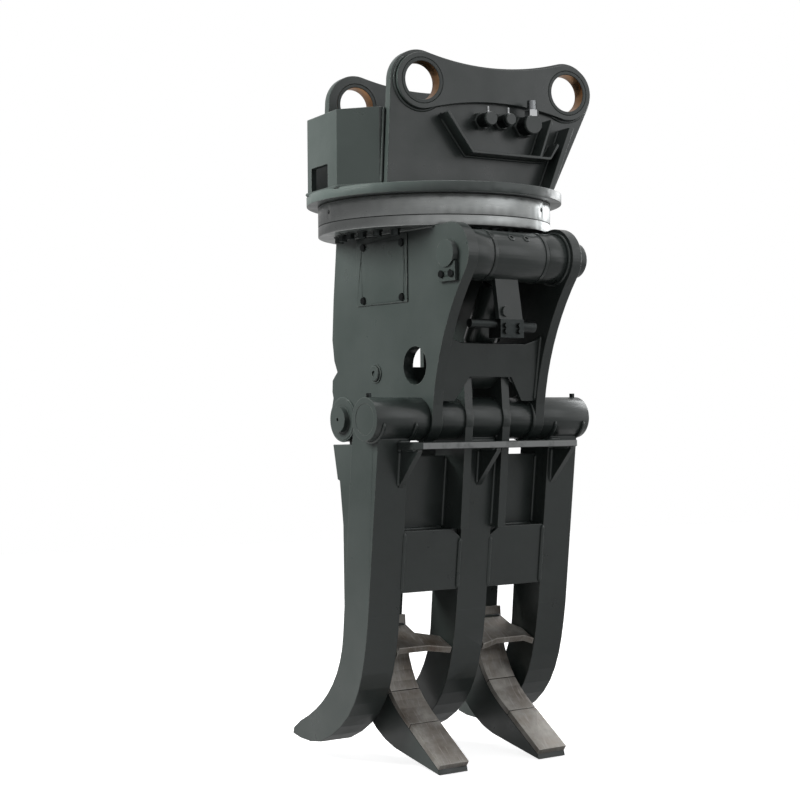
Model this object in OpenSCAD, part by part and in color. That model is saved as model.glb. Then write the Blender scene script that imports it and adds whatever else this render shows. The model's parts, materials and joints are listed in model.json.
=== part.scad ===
// Rotating five-tine hydraulic grapple for an excavator arm.
// The origin is the centre of the stick pin bores, +Y runs along the pins and +Z is up.
// Everything below the slewing ring is drawn about the slewing axis, at the height of
// the two jaw hinges, and placed by grab().

/* [Hanger ears] */
// Distance between the stick pin and the link pin
pin_pitch = 354; // [340:1:380]
// Radius of the pin bore in the ear bushes
pin_bore_r = 40; // [36:0.5:42]
// Wall of an ear bush
ear_bush_wall = 8; // [5:0.5:10]
// Clear gap between the two ears
ear_gap = 284; // [276:1:296]
// Thickness of an ear plate
ear_t = 22; // [18:1:26]
// Thickness of the doubler plate on each ear
doubler_t = 12; // [8:1:16]
// Radius of the ear round the stick pin
stick_lug_r = 66; // [62:1:72]
// Radius of the ear round the link pin
link_lug_r = 66; // [62:1:70]
// Radius of the hollow along the top of an ear
ear_dip_r = 600; // [560:10:660]
// Radius of the doubler round each pin
doubler_lug_r = 59; // [56:1:61]
// Height of the pins over the base disc
ear_h = 218; // [205:1:240]
// Reach of an ear's foot to the left of the stick pin
foot_left = 79; // [72:1:90]
// Reach of an ear's foot to the right of the stick pin
foot_right = 321; // [300:1:330]

/* [Hanger base] */
// Distance from the stick pin to the slewing axis
slew_offset = 117; // [105:1:125]
// Radius of the base disc
disc_r = 279; // [272:1:290]
// Thickness of the base disc
disc_t = 21; // [16:1:26]
// Wall of the motor housing
housing_t = 12; // [8:1:16]
// Height of the motor housing over the disc
housing_h = 163; // [150:1:180]
// Half-width of the motor housing's end wall
housing_end_w = 75; // [65:1:85]
// Width of the cut-out in the end wall
housing_cut_w = 83; // [60:1:90]
// Height of the cut-out in the end wall
housing_cut_h = 55; // [40:1:65]
// Radius of the slewing motor
motor_r = 46; // [40:1:50]
// Height of the slewing motor
motor_h = 100; // [80:1:108]

/* [Slewing ring] */
// Outer radius of the slewing ring
ring_r = 254; // [252:1:256]
// Height of the outer race
ring_h = 44; // [40:1:50]
// Open gap under the outer race
ring_gap = 1; // [0.5:0.5:2]
// Radius of the circle that the balls run on
ball_circle_r = 225; // [222:1:227]
// Radius of a bearing ball
ball_r = 10; // [8:0.5:11]
// Number of bearing balls
ball_count = 36; // [24:1:48]
// Tooth module of the slewing gear
gear_module = 8; // [7:0.5:8]
// Teeth on the slewing gear
gear_teeth = 48; // [44:4:48]
// Teeth on the drive pinion
pinion_teeth = 12; // [11:1:13]
// Number of bolt places round the outer race
race_bolt_count = 24; // [18:2:30]
// Number of bolt places round the slewing flange
flange_bolt_count = 30; // [24:2:36]
// Turn of the grab about the hanger as it is shown
slew_rest = 9; // [0:1:20]

/* [Grab frame] */
// Height of the slewing flange's underside over the jaw hinges
frame_h = 397; // [385:1:410]
// Thickness of the slewing flange
flange_t = 22; // [18:1:26]
// Distance over the two side plates
frame_w = 302; // [298:1:308]
// Thickness of a side plate
side_t = 25; // [22:1:28]
// Radius of the hollow along the front edge of a side plate
front_hollow_r = 560; // [480:10:700]
// Distance between the two jaw hinges
hinge_pitch = 276; // [270:1:284]
// Radius of every jaw hinge pin
hinge_pin_r = 32; // [28:1:33]
// Running clearance of the pins in their bushes
pin_fit = 0.05; // [0.02:0.01:0.1]
// Wall of a hinge bush
hinge_bush_wall = 5; // [4:0.5:6]
// Outer radius of the hinge tubes
hinge_tube_r = 45; // [43:1:48]
// Gap between pieces that turn beside each other
side_gap = 0.5; // [0.3:0.1:1]
// Radius of the access hole in a side plate
access_r = 40; // [34:1:44]
// Thickness of the front plate
front_plate_t = 8; // [6:1:9]
// Thickness of the back plate
back_plate_t = 14; // [10:1:18]

/* [Cylinder] */
// Distance of the cylinder's top pin in front of the slewing axis
top_pin_y = 250; // [244:1:256]
// Height of the cylinder's top pin over the jaw hinges
top_pin_z = 335; // [328:1:338]
// Radius of the cylinder's top pin
top_pin_r = 28; // [25:1:30]
// Radius of the bosses and the eye on the top pin
top_boss_r = 52; // [48:1:54]
// Length of the boss round the top pin on each side plate
top_boss_w = 52.5; // [46:0.5:58]
// Radius of the cylinder barrel
barrel_r = 35; // [33:0.5:36]
// Wall of the cylinder barrel
barrel_wall = 7; // [6:0.5:8]
// Radius of the piston rod
rod_r = 20; // [18:1:24]
// Radius of the lever pin
lever_pin_r = 26; // [24:1:28]
// Free play of the cylinder's lower eye round the lever pin
lever_play = 11; // [10:0.5:12]

/* [Front jaw] */
// Height from the hinges to the tips
jaw_reach = 720; // [690:5:750]
// Distance between the front tines
tine_pitch = 228; // [224:1:232]
// Width of a front tine
tine_w = 80; // [76:1:82]
// Distance over the hinge tubes
jaw_w = 572; // [560:1:584]
// Thickness of a lever ear
lever_t = 20; // [16:1:22]
// Height of the box beam's top below the hinges
beam_top = 232; // [225:1:245]
// Height of the box beam's underside below the hinges
beam_low = 361; // [345:1:375]
// Length of the step plate
step_w = 440; // [420:2:450]
// Thickness of the step plate
step_t = 14; // [10:1:18]
// Distance of the step plate's edge in front of the slewing axis
step_reach = 230; // [215:1:240]

/* [Rear jaw] */
// Distance between the rear tines
rear_pitch = 264; // [262:1:266]
// Width of a rear tine
rear_w = 75; // [72:1:77]
// Thickness of the wear plates
wear_t = 12; // [8:1:14]
// Thickness of a catch plate
catch_t = 14; // [10:1:18]

/* [Hidden] */
$fn = 72;

paint = [0.20, 0.25, 0.23];
paint_light = [0.26, 0.31, 0.29];
steel = [0.62, 0.63, 0.64];
dark_steel = [0.32, 0.33, 0.34];
worn_steel = [0.50, 0.46, 0.42];
bronze = [0.72, 0.46, 0.28];

cut = 1;                       // overrun of every cut
seat_gap = 0.2;                // clearance of a piece that is dropped into its seat

// Heights that follow from the stack of pieces
disc_top = -ear_h;
disc_low = disc_top - disc_t;
flange_top = frame_h + flange_t;
hinge_drop = ear_h + disc_t + ring_h + ring_gap + flange_top;
ring_low = flange_top + ring_gap;
ring_top = ring_low + ring_h;
ear_in = ear_gap / 2;
ear_out = ear_in + ear_t;
boss_out = ear_out + doubler_t;
ear_bush_r = pin_bore_r + ear_bush_wall;
side_out = frame_w / 2;
side_in = side_out - side_t;
top_eye_w = 2 * (side_in - top_boss_w - side_gap);
hinge_y = hinge_pitch / 2;
bush_r = hinge_pin_r + hinge_bush_wall;
gear_pitch_r = gear_module * gear_teeth / 2;
pinion_pitch_r = gear_module * pinion_teeth / 2;
pinion_x = gear_pitch_r - pinion_pitch_r;
lever_lift = 9;                // how far the lever pin stands behind the front hinge
access_y = -hinge_y + lever_lift;
access_z = 111;
swing0 = atan2(access_z - top_pin_z, access_y + top_pin_y);
pins_apart = norm([access_y + top_pin_y, access_z - top_pin_z]);

// Points along a circle's arc
function arc(c, r, a0, a1, n = 10) =
    [for (i = [0:n]) let(a = a0 + (a1 - a0) * i / n) [c[0] + r * cos(a), c[1] + r * sin(a)]];
// Points along a curve with four control points
function curve(p, n = 10) =
    [for (i = [0:n]) let(t = i / n, s = 1 - t)
        p[0] * s * s * s + p[1] * 3 * s * s * t + p[2] * 3 * s * t * t + p[3] * t * t * t];
// The corner, on the left of the way from a to b, at distance ra from a and rb from b
function meet(a, ra, b, rb) =
    let(d = norm(b - a), u = (b - a) / d, k = (d * d + ra * ra - rb * rb) / (2 * d),
        h = sqrt(ra * ra - k * k))
    a + u * k + [-u[1], u[0]] * h;
// Where a line from p touches a circle, on the side given by +1 or -1
function touch(p, c, r, side) =
    let(d = norm(c - p), a = acos(r / d), u = (p - c) / d)
    c + r * [u[0] * cos(a) - side * u[1] * sin(a), side * u[0] * sin(a) + u[1] * cos(a)];
// A path's points moved sideways by t
function beside(path, t) =
    [for (i = [0:len(path) - 1])
        let(a = path[max(i - 1, 0)], b = path[min(i + 1, len(path) - 1)], u = (b - a) / norm(b - a))
        path[i] + t * [-u[1], u[0]]];
function backwards(p) = [for (i = [len(p) - 1:-1:0]) p[i]];

// Places what hangs below the slewing ring
module grab() {
    translate([slew_offset, 0, -hinge_drop]) rotate([0, 0, slew_rest]) children();
}
// Extrudes a profile in Y and Z along X, from x on
module across(x, t) {
    translate([x, 0, 0]) rotate([90, 0, 90]) linear_extrude(t) children();
}
// Extrudes a profile in X and Z along Y, from y on
module along(y, t) {
    translate([0, y + t, 0]) rotate([90, 0, 0]) linear_extrude(t) children();
}
// A round bar along X
module bar(x0, x1, y, z, r) {
    translate([x0, y, z]) rotate([0, 90, 0]) cylinder(r = r, h = x1 - x0);
}
// A tube along X
module tube(x0, x1, y, z, r, bore) {
    difference() {
        bar(x0, x1, y, z, r);
        bar(x0 - cut, x1 + cut, y, z, bore);
    }
}
// A ring about Z
module ring(r, bore, z0, z1) {
    translate([0, 0, z0]) difference() {
        cylinder(r = r, h = z1 - z0);
        translate([0, 0, -cut]) cylinder(r = bore, h = z1 - z0 + 2 * cut);
    }
}
module both_sides() {
    children();
    mirror([1, 0, 0]) children();
}

// Hanger

lug_shift_share = 0.2;
stick_lug_c = [-(foot_left - stick_lug_r) * lug_shift_share, link_lug_r - stick_lug_r];
link_lug_c = [pin_pitch, 0];

touch_in = 0.2;                // how far inside the lugs the straight sides meet them

module ear_shape() {
    c = meet(stick_lug_c, ear_dip_r + stick_lug_r, link_lug_c, ear_dip_r + link_lug_r);
    foot_l = [-foot_left, disc_top];
    foot_r = [foot_right, disc_top];
    difference() {
        union() {
            polygon([foot_l, foot_r,
                touch(foot_r, link_lug_c, link_lug_r - touch_in, 1),
                link_lug_c + link_lug_r * (c - link_lug_c) / norm(c - link_lug_c),
                stick_lug_c + stick_lug_r * (c - stick_lug_c) / norm(c - stick_lug_c),
                touch(foot_l, stick_lug_c, stick_lug_r - touch_in, -1)]);
            translate(stick_lug_c) circle(r = stick_lug_r);
            translate(link_lug_c) circle(r = link_lug_r);
        }
        translate(c) circle(r = ear_dip_r, $fn = 180);
        circle(r = ear_bush_r);
        translate(link_lug_c) circle(r = ear_bush_r);
    }
}

doubler_edge = 5;              // set-back of the doubler from the ear's top edge
doubler_low_r = 620;           // hollow along the doubler's lower edge

module doubler_shape() {
    c = meet(stick_lug_c, ear_dip_r + stick_lug_r, link_lug_c, ear_dip_r + link_lug_r);
    low = meet(link_lug_c, doubler_low_r + doubler_lug_r, [0, 0], doubler_low_r + doubler_lug_r);
    t1 = doubler_lug_r * low / norm(low);
    t2 = link_lug_c + doubler_lug_r * (low - link_lug_c) / norm(low - link_lug_c);
    difference() {
        union() {
            circle(r = doubler_lug_r);
            translate(link_lug_c) circle(r = doubler_lug_r);
            polygon([t1, t2, [pin_pitch, doubler_lug_r], [0, doubler_lug_r]]);
        }
        translate(c) circle(r = ear_dip_r + doubler_edge, $fn = 180);
        translate(low) circle(r = doubler_low_r, $fn = 180);
        circle(r = ear_bush_r);
        translate(link_lug_c) circle(r = ear_bush_r);
    }
}

port_x_shares = [0.40, 0.535, 0.69];  // places of the ports between the pins
port_z_shares = [0.345, 0.34, 0.37];  // their depth below the pins
port_r = [15, 14, 20];
port_cap_r = [14, 12, 20];
port_len = 42;
port_cap_t = 9;

// A round bar of port i, from y on away from the ear
module port_bar(i, r, y, h) {
    translate([port_x_shares[i] * pin_pitch, y, -port_z_shares[i] * ear_h]) rotate([90, 0, 0])
        cylinder(r = r, h = h);
}
module ear_plate_near() {
    color(paint) difference() {
        along(-ear_out, ear_t) ear_shape();
        for (i = [0:2]) port_bar(i, port_r[i], cut - ear_in, ear_t + 2 * cut);
    }
}
module ear_plate_far() {
    color(paint) along(ear_in, ear_t) ear_shape();
}
module ear_doublers() {
    color(paint) {
        along(-boss_out, doubler_t) doubler_shape();
        along(ear_out, doubler_t) doubler_shape();
    }
}
module ear_bushes() {
    color(bronze)
    for (x = [0, pin_pitch]) for (y = [-boss_out, ear_in])
        translate([x, y, 0]) rotate([-90, 0, 0]) difference() {
            cylinder(r = ear_bush_r, h = boss_out - ear_in);
            translate([0, 0, -cut]) cylinder(r = pin_bore_r, h = boss_out - ear_in + 2 * cut);
        }
}

race_bolt_r = 7;
race_bolt_in = 14;
race_bolt_circle = (ring_r + ball_circle_r + ball_r) / 2;
bolt_head_h = 12;
bolt_head_share = 1.5;         // head radius over shank radius
disc_bore_r = 95;
// Bolts whose heads would stand under an ear or the housing's wall are left out
function race_bolt_angles() = [for (i = [0:race_bolt_count - 1])
    let(a = (i + 0.5) * 360 / race_bolt_count, y = abs(race_bolt_circle * sin(a)),
        x = race_bolt_circle * cos(a))
    if (y < ear_in - 2 * race_bolt_r || y > ear_out + 2 * race_bolt_r)
    if (x > 0 || y > ear_out || abs(x) + y < corner_reach) a];
corner_reach = sqrt(disc_r * disc_r - housing_end_w * housing_end_w) + housing_end_w
    - 2 * (housing_t + 2 * race_bolt_r);

module base_disc() {
    color(paint_light) translate([slew_offset, 0, disc_low]) difference() {
        cylinder(r = disc_r, h = disc_t, $fn = 144);
        translate([0, 0, -cut]) cylinder(r = disc_bore_r, h = disc_t + 2 * cut);
        translate([-pinion_x, 0, -cut]) cylinder(r = shaft_hole_r, h = disc_t + 2 * cut);
        for (a = race_bolt_angles()) rotate([0, 0, a])
            translate([race_bolt_circle, 0, 0]) {
                translate([0, 0, -cut])
                    cylinder(r = race_bolt_r + seat_gap, h = disc_t + 2 * cut, $fn = 24);
                translate([0, 0, disc_t - bolt_head_h])
                    cylinder(r = race_bolt_r * bolt_head_share + seat_gap, h = bolt_head_h + cut);
            }
    }
}
shaft_r = 24;
shaft_room = 6;                // clearance of the shaft in the disc
shaft_hole_r = shaft_r + shaft_room;

// Bent wall round the slewing motor, open at the top and to the arm
module motor_housing() {
    x0 = slew_offset - sqrt(disc_r * disc_r - housing_end_w * housing_end_w);
    dx = ear_in - housing_end_w;
    t = housing_t;
    k = t * tan(22.5);
    x1 = x0 + dx + t * sqrt(2);
    outer = [[x0 + dx, -ear_in], [x0, -housing_end_w], [x0, housing_end_w], [x0 + dx, ear_in]];
    inner = [[x1, ear_in], [x0 + t, housing_end_w - k], [x0 + t, k - housing_end_w], [x1, -ear_in]];
    color(paint_light) difference() {
        translate([0, 0, disc_top]) linear_extrude(housing_h)
            polygon(concat(outer, inner));
        translate([x0 - cut, housing_cut_y - housing_cut_w / 2, disc_top - cut])
            cube([t + 2 * cut, housing_cut_w, housing_cut_h + cut]);
    }
}
housing_cut_y = 13;

web_t = 16;
web_h = 92;
web_x_share = 0.80;            // place of the cross web between the pins
module cross_web() {
    color(paint) translate([web_x_share * pin_pitch, -ear_in, disc_top])
        difference() {
            cube([web_t, ear_gap, web_h]);
            translate([-cut, ear_in, web_h]) rotate([0, 90, 0])
                cylinder(r = web_h * web_notch_share, h = web_t + 2 * cut);
        }
}
web_notch_share = 0.55;

guard_w = 40;
guard_t = 6;
// The guard's bent line, in shares of the pin distance and of the ear's height
guard_shares = [[0.134, -0.293], [0.294, -0.655], [0.825, -0.672], [0.876, -0.533]];
guard_arm_shares = [[0.748, -0.68], [0.832, -0.302]];

function at_ear(s) = [s[0] * pin_pitch, s[1] * ear_h];
module guard_strip(shares) {
    path = [for (s = shares) at_ear(s)];
    along(-ear_out - guard_w, guard_w)
        polygon(concat(path, backwards(beside(path, -guard_t))));
}
module port_guard() {
    color(paint) {
        guard_strip(guard_shares);
        guard_strip(guard_arm_shares);
    }
}
module port_stubs() {
    color(dark_steel) for (i = [0:2]) {
        port_bar(i, port_r[i], -ear_in, ear_t + port_len);
        port_bar(i, port_cap_r[i], -ear_out - port_len, port_cap_t);
    }
}
rib_t = 12;
rib_w = 46;
rib_shares = [[0.985, -0.37], [0.868, -0.90]];
module ear_rib() {
    p = [for (s = rib_shares) at_ear(s)];
    foot = [p[1][0] - rib_t * 2, disc_top];
    color(paint) for (y = [-ear_out - rib_w, ear_out])
        along(y, rib_w) polygon([p[0], p[0] - [rib_t, 0], foot, foot + [rib_t, 0]]);
}

motor_flange_r = 62;
motor_flange_t = 16;
motor_cap_r = 34;
module slew_motor() {
    color(dark_steel) translate([slew_offset - pinion_x, 0, disc_top]) {
        difference() {
            union() {
                cylinder(r = motor_flange_r, h = motor_flange_t);
                cylinder(r = motor_r, h = motor_h * 0.72);
                cylinder(r = motor_cap_r, h = motor_h);
            }
            translate([0, 0, -cut]) cylinder(r = shaft_r + pin_fit, h = shaft_depth + cut);
        }
        for (a = [0:60:359]) rotate([0, 0, a])
            translate([(motor_r + motor_flange_r) / 2, 0, motor_flange_t])
                cylinder(r = race_bolt_r * bolt_head_share / 2, h = bolt_head_h / 2, $fn = 6);
    }
}
shaft_depth = 40;

// Gear teeth: straight flanks at the pressure angle, with backlash
gear_under = 4;                // height of the teeth over the ring's lower edge
gear_low = ring_low + gear_under;
gear_face = 28;
backlash = 3;
flank = 20;
tip_share = 0.78;              // tooth height over the pitch line, in modules
root_share = 1.15;             // tooth depth under the pitch line, in modules
function tooth(r, dir) =
    let(h = gear_module * PI / 4 - backlash / 2, tip = gear_module * tip_share,
        root = gear_module * root_share, g = tan(flank))
    [[r - dir * root, h + root * g], [r + dir * tip, h - tip * g],
     [r + dir * tip, tip * g - h], [r - dir * root, -h - root * g]];

module drive_pinion() {
    root_r = pinion_pitch_r - gear_module * root_share;
    color(steel) translate([slew_offset - pinion_x, 0, -hinge_drop]) {
        translate([0, 0, gear_low]) linear_extrude(gear_face) {
            circle(r = root_r + cut);
            for (i = [0:pinion_teeth - 1]) rotate(i * 360 / pinion_teeth + 180)
                polygon(tooth(pinion_pitch_r, 1));
        }
        translate([0, 0, gear_low])
            cylinder(r = shaft_r, h = hinge_drop + disc_top + shaft_depth - gear_low - cut);
    }
}

race_gap = 3;                  // radial gap between the races
groove_r = ball_r + seat_gap;
ball_z = ring_low + ring_h / 2;
module ball_groove() {
    rotate_extrude($fn = 144) translate([ball_circle_r, 0]) circle(r = groove_r, $fn = 36);
}
fill_hole_r = 5;
fill_hole_angles = [60, 180, 306];
module outer_race() {
    color(steel) grab_unturned() difference() {
        ring(ring_r, ball_circle_r + race_gap / 2, ring_low, ring_top);
        translate([0, 0, ball_z]) ball_groove();
        for (a = fill_hole_angles) rotate([0, 0, a]) translate([ball_circle_r, 0, ball_z])
            rotate([0, 90, 0]) cylinder(r = fill_hole_r, h = ring_r, $fn = 24);
        for (a = race_bolt_angles()) rotate([0, 0, a])
            translate([race_bolt_circle, 0, ring_top - race_bolt_in])
                cylinder(r = race_bolt_r + pin_fit, h = race_bolt_in + cut, $fn = 24);
    }
}
// The slewing axis without the grab's turn
module grab_unturned() {
    translate([slew_offset, 0, -hinge_drop]) children();
}
module race_bolts() {
    color(dark_steel) translate([slew_offset, 0, 0]) for (a = race_bolt_angles()) rotate([0, 0, a])
        translate([race_bolt_circle, 0, disc_low - race_bolt_in + cut]) {
            cylinder(r = race_bolt_r, h = race_bolt_in - cut + disc_t - bolt_head_h, $fn = 24);
            translate([0, 0, race_bolt_in - cut + disc_t - bolt_head_h])
                cylinder(r = race_bolt_r * bolt_head_share, h = bolt_head_h, $fn = 6);
        }
}
module bearing_balls() {
    color(steel) grab_unturned() for (i = [0:ball_count - 1]) rotate([0, 0, i * 360 / ball_count])
        translate([ball_circle_r, 0, ball_z]) sphere(r = ball_r, $fn = 24);
}
swivel_r = 60;
swivel_core_r = 34;
swivel_flange_t = 11;
module swivel_core() {
    color(dark_steel) grab_unturned() {
        translate([0, 0, ring_top]) ring(disc_bore_r, swivel_bore_r, -swivel_flange_t, disc_t);
        translate([0, 0, frame_h]) ring(swivel_core_r, swivel_bore_r, 0, ring_top - frame_h);
    }
}
swivel_bore_r = 20;

// Grab frame

flange_bore_r = 110;
flange_bolt_circle = (gear_pitch_r + gear_module * root_share + ball_circle_r - ball_r) / 2;
flange_bolt_r = 6;
flange_bolt_in = 11;
flange_head_share = 1.6;
// Bolts whose heads would stand in a side plate are left out
function flange_bolt_angles() = [for (i = [0:flange_bolt_count - 1])
    let(a = (i + 0.5) * 360 / flange_bolt_count, x = abs(flange_bolt_circle * cos(a)),
        y = flange_bolt_circle * sin(a))
    if (x < side_in - 2 * flange_bolt_r - cover_t || x > side_out + 2 * flange_bolt_r + cover_t) a];

module slew_flange() {
    color(paint_light) grab() difference() {
        ring(ring_r, flange_bore_r, frame_h, flange_top);
        for (a = flange_bolt_angles()) rotate([0, 0, a])
            translate([flange_bolt_circle, 0, frame_h - cut])
                cylinder(r = flange_bolt_r + seat_gap, h = flange_t + 2 * cut, $fn = 24);
    }
}
module flange_bolts() {
    color(dark_steel) grab() for (a = flange_bolt_angles()) rotate([0, 0, a])
        translate([flange_bolt_circle, 0, frame_h]) {
            cylinder(r = flange_bolt_r, h = flange_t + flange_bolt_in - cut, $fn = 24);
            translate([0, 0, -bolt_head_h])
                cylinder(r = flange_bolt_r * flange_head_share, h = bolt_head_h, $fn = 6);
        }
}
module slew_gear() {
    root_r = gear_pitch_r + gear_module * root_share;
    space = 360 / gear_teeth;
    color(steel) grab() rotate([0, 0, -slew_rest]) difference() {
        union() {
            ring(ball_circle_r - race_gap / 2, root_r, flange_top, ring_top - swivel_flange_t / 2);
            translate([0, 0, gear_low]) linear_extrude(gear_face)
                for (i = [0:gear_teeth - 1]) rotate((i + 0.5) * space)
                    polygon([for (p = tooth(gear_pitch_r, -1)) p + [(p[0] > gear_pitch_r) ? cut : 0, 0]]);
        }
        translate([0, 0, ball_z]) ball_groove();
        for (a = flange_bolt_angles()) rotate([0, 0, a + slew_rest])
            translate([flange_bolt_circle, 0, flange_top - cut])
                cylinder(r = flange_bolt_r + pin_fit, h = flange_bolt_in + cut, $fn = 24);
    }
}
module swivel_housing() {
    color(dark_steel) grab() {
        ring(swivel_r, swivel_core_r + pin_fit, frame_h, flange_top + swivel_r / 3);
        ring(flange_bore_r, swivel_core_r + pin_fit, frame_h + flange_t / 2, flange_top);
        ring(swivel_r, 0, frame_h - 2 * swivel_flange_t, frame_h);
    }
}

hinge_lug_r = 50;
top_lug_r = 64;
// Back edge of a side plate, in shares of the hinge pitch and of the frame's height
back_edge_shares = [[0.578, 1], [0.627, 0.67], [0.649, 0.446], [0.623, 0.327], [0.580, 0.265],
    [0.616, 0.242], [0.650, 0.218], [0.655, 0.156], [0.640, 0.12]];

module side_shape() {
    front = [-hinge_y, 0];
    rear = [hinge_y, 0];
    top = [-top_pin_y, top_pin_z];
    // The hollow front edge touches the lugs of the front hinge and of the top pin
    c = meet(front, front_hollow_r + hinge_lug_r, top, front_hollow_r + top_lug_r);
    a0 = atan2(front[1] - c[1], front[0] - c[0]);
    a1 = atan2(top[1] - c[1], top[0] - c[0]);
    a2 = asin(min((frame_h - top_pin_z) / top_lug_r, 1));
    back = [for (s = back_edge_shares) [s[0] * hinge_pitch, s[1] * frame_h]];
    t = touch(back[len(back) - 1], rear, hinge_lug_r, -1) - rear;
    difference() {
        polygon(concat(arc(front, hinge_lug_r, 180 + foot_a, 180 + a0, 16), arc(c, front_hollow_r, a0, a1),
            arc(top, top_lug_r, 180 + a1, a2, 24), back,
            arc(rear, hinge_lug_r, atan2(t[1], t[0]), -foot_a, 16),
            [[foot_edge_w, -foot_edge_z], [-foot_edge_w, -foot_edge_z]]));
        translate(front) circle(r = hinge_pin_r);
        translate(rear) circle(r = hinge_pin_r);
        translate(top) circle(r = top_pin_r);
        translate([access_y, access_z]) circle(r = access_r);
    }
}
foot_a = 80;                   // where the lower edge leaves the hinge lugs
foot_edge_w = 70;
foot_edge_z = 28;
module side_plate_left() {
    color(paint) grab() difference() {
        across(-side_out, side_t) side_shape();
        keeper_bolt_bars(-side_out - cut, -side_out + keeper_bolt_in, keeper_bolt_r, 24);
    }
}
module side_plate_right() {
    color(paint) grab() across(side_in, side_t) side_shape();
}

front_plate_y = 178.5;         // the front plate's face, at the height of the hinges
front_plate_tilt = 9.6;
// Outline of the front plate, in shares of the width between the side plates and of the frame's height
front_plate_shares = [[-0.5, 0.447], [-0.484, 0.43], [-0.34, 0.4], [0.34, 0.4], [0.484, 0.43],
    [0.5, 0.447], [0.5, 0.092], [0.36, 0.092], [0.225, 0.22], [-0.225, 0.22], [-0.36, 0.092], [-0.5, 0.092]];
module front_plate() {
    color(paint) grab() translate([0, -front_plate_y, 0]) rotate([front_plate_tilt, 0, 0])
        along(0, front_plate_t)
            polygon([for (s = front_plate_shares) [s[0] * 2 * side_in, s[1] * frame_h]]);
}
back_plate_y = 143;
window_w = 150;
window_h = 150;
window_z = 118;
module back_plate() {
    color(paint) grab() difference() {
        translate([-side_in, back_plate_y, back_plate_low])
            cube([2 * side_in, back_plate_t, frame_h - back_plate_low]);
        translate([-window_w / 2, back_plate_y - cut, window_z])
            cube([window_w, back_plate_t + 2 * cut, window_h]);
    }
}
back_plate_low = 58;

cover_t = 3;
cover_low = 245;
cover_y0 = -108;
cover_y1 = 78;
cover_top = 390;
cover_bolt_y = [-90, 51];
cover_bolt_z = [256, 371];
cover_bolt_r = 8;
cover_head_h = 4;
module cover_plate() {
    color(paint) grab() both_sides() difference() {
        translate([-side_out - cover_t, cover_y0, cover_low])
            cube([cover_t, cover_y1 - cover_y0, cover_top - cover_low]);
        for (y = cover_bolt_y) for (z = cover_bolt_z)
            bar(-side_out - cover_t - cut, -side_out + cut, y, z, cover_bolt_r);
    }
}
module frame_bolts() {
    color(dark_steel) grab() {
        both_sides() for (y = cover_bolt_y) for (z = cover_bolt_z) {
            bar(-side_out - cover_t, -side_out, y, z, cover_bolt_r);
            translate([-side_out - cover_t - cover_head_h, y, z]) rotate([0, 90, 0])
                cylinder(r = cover_bolt_r, h = cover_head_h, $fn = 6);
        }
        keeper_bolt_bars(-side_out - keeper_t, -side_out + keeper_bolt_in - cut, keeper_bolt_r, 24);
        keeper_bolt_bars(-side_out - keeper_t - cover_head_h, -side_out - keeper_t, cover_bolt_r, 6);
    }
}

ear_out_x = tine_w / 2 + lever_t;
module front_hinge_bosses() {
    color(paint) grab() both_sides()
        tube(ear_out_x + side_gap, side_in, -hinge_y, 0, hinge_tube_r, hinge_pin_r);
}
rear_boss_r = 46;
rear_boss_t = 4;
module rear_hinge_bosses() {
    color(paint) grab() both_sides()
        tube(side_out, side_out + rear_boss_t, hinge_y, 0, rear_boss_r, hinge_pin_r);
}
module front_hinge_pin() {
    color(steel) grab() bar(-jaw_w / 2 + side_gap * 2, jaw_w / 2 - side_gap * 2, -hinge_y, 0, hinge_pin_r);
}
pin_end_r = 28;
pin_end_out = 12;
pin_hole_r = 4;
pin_inner_end = 60;
module rear_hinge_pins() {
    end = side_out + rear_boss_t + pin_end_out;
    color(steel) grab() both_sides() difference() {
        union() {
            bar(-side_out - rear_boss_t, -pin_inner_end, hinge_y, 0, hinge_pin_r);
            bar(-end, -pin_inner_end, hinge_y, 0, pin_end_r);
        }
        bar(-end - cut, -side_out, hinge_y, 0, pin_hole_r);
    }
}

top_boss_in = side_in - top_boss_w;
module top_pin_bosses() {
    color(paint) grab() both_sides()
        tube(top_boss_in, side_in, -top_pin_y, top_pin_z, top_boss_r, top_pin_r);
}
top_end_out = 12;
top_cap_out = 42;
top_cap_r = 37;
top_cap_edge = 4;
// The keeper plate stands in a slot in the pin's left end
keeper_t = 8;
keeper_w = 57;
keeper_h = 40;
keeper_drop = 17;              // the plate's top edge under the pin's centre
keeper_bolt_r = 5;
keeper_bolt_y = 16;            // the bolts' places beside the pin
keeper_sink = 5;               // and under the plate's middle
keeper_bolt_in = 15;
module keeper_bolt_bars(x0, x1, r, sides) {
    z = top_pin_z - keeper_drop - keeper_h / 2 - keeper_sink;
    for (y = [-keeper_bolt_y, keeper_bolt_y]) translate([x0, y - top_pin_y, z]) rotate([0, 90, 0])
        cylinder(r = r, h = x1 - x0, $fn = sides);
}
module pin_keeper() {
    color(paint) grab() difference() {
        translate([-side_out - keeper_t, -top_pin_y - keeper_w / 2, top_pin_z - keeper_drop - keeper_h])
            cube([keeper_t, keeper_w, keeper_h]);
        keeper_bolt_bars(-side_out - keeper_t - cut, -side_out + cut, keeper_bolt_r, 24);
    }
}
module top_pin() {
    color(paint_light) grab() {
        difference() {
            bar(-side_out - top_end_out, side_out + top_cap_out, -top_pin_y, top_pin_z, top_pin_r);
            translate([-side_out - keeper_t - seat_gap, -top_pin_y - top_pin_r, top_pin_z - top_pin_r - cut])
                cube([keeper_t + seat_gap, 2 * top_pin_r, top_pin_r + cut - keeper_drop + seat_gap]);
        }
        bar(side_out, side_out + top_cap_out - top_cap_edge, -top_pin_y, top_pin_z, top_cap_r);
        translate([side_out + top_cap_out - top_cap_edge, -top_pin_y, top_pin_z]) rotate([0, 90, 0])
            cylinder(r1 = top_cap_r, r2 = top_cap_r - top_cap_edge, h = top_cap_edge);
    }
}

// Cylinder: the rod hangs from the top pin and the barrel ends on the lever pin

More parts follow.
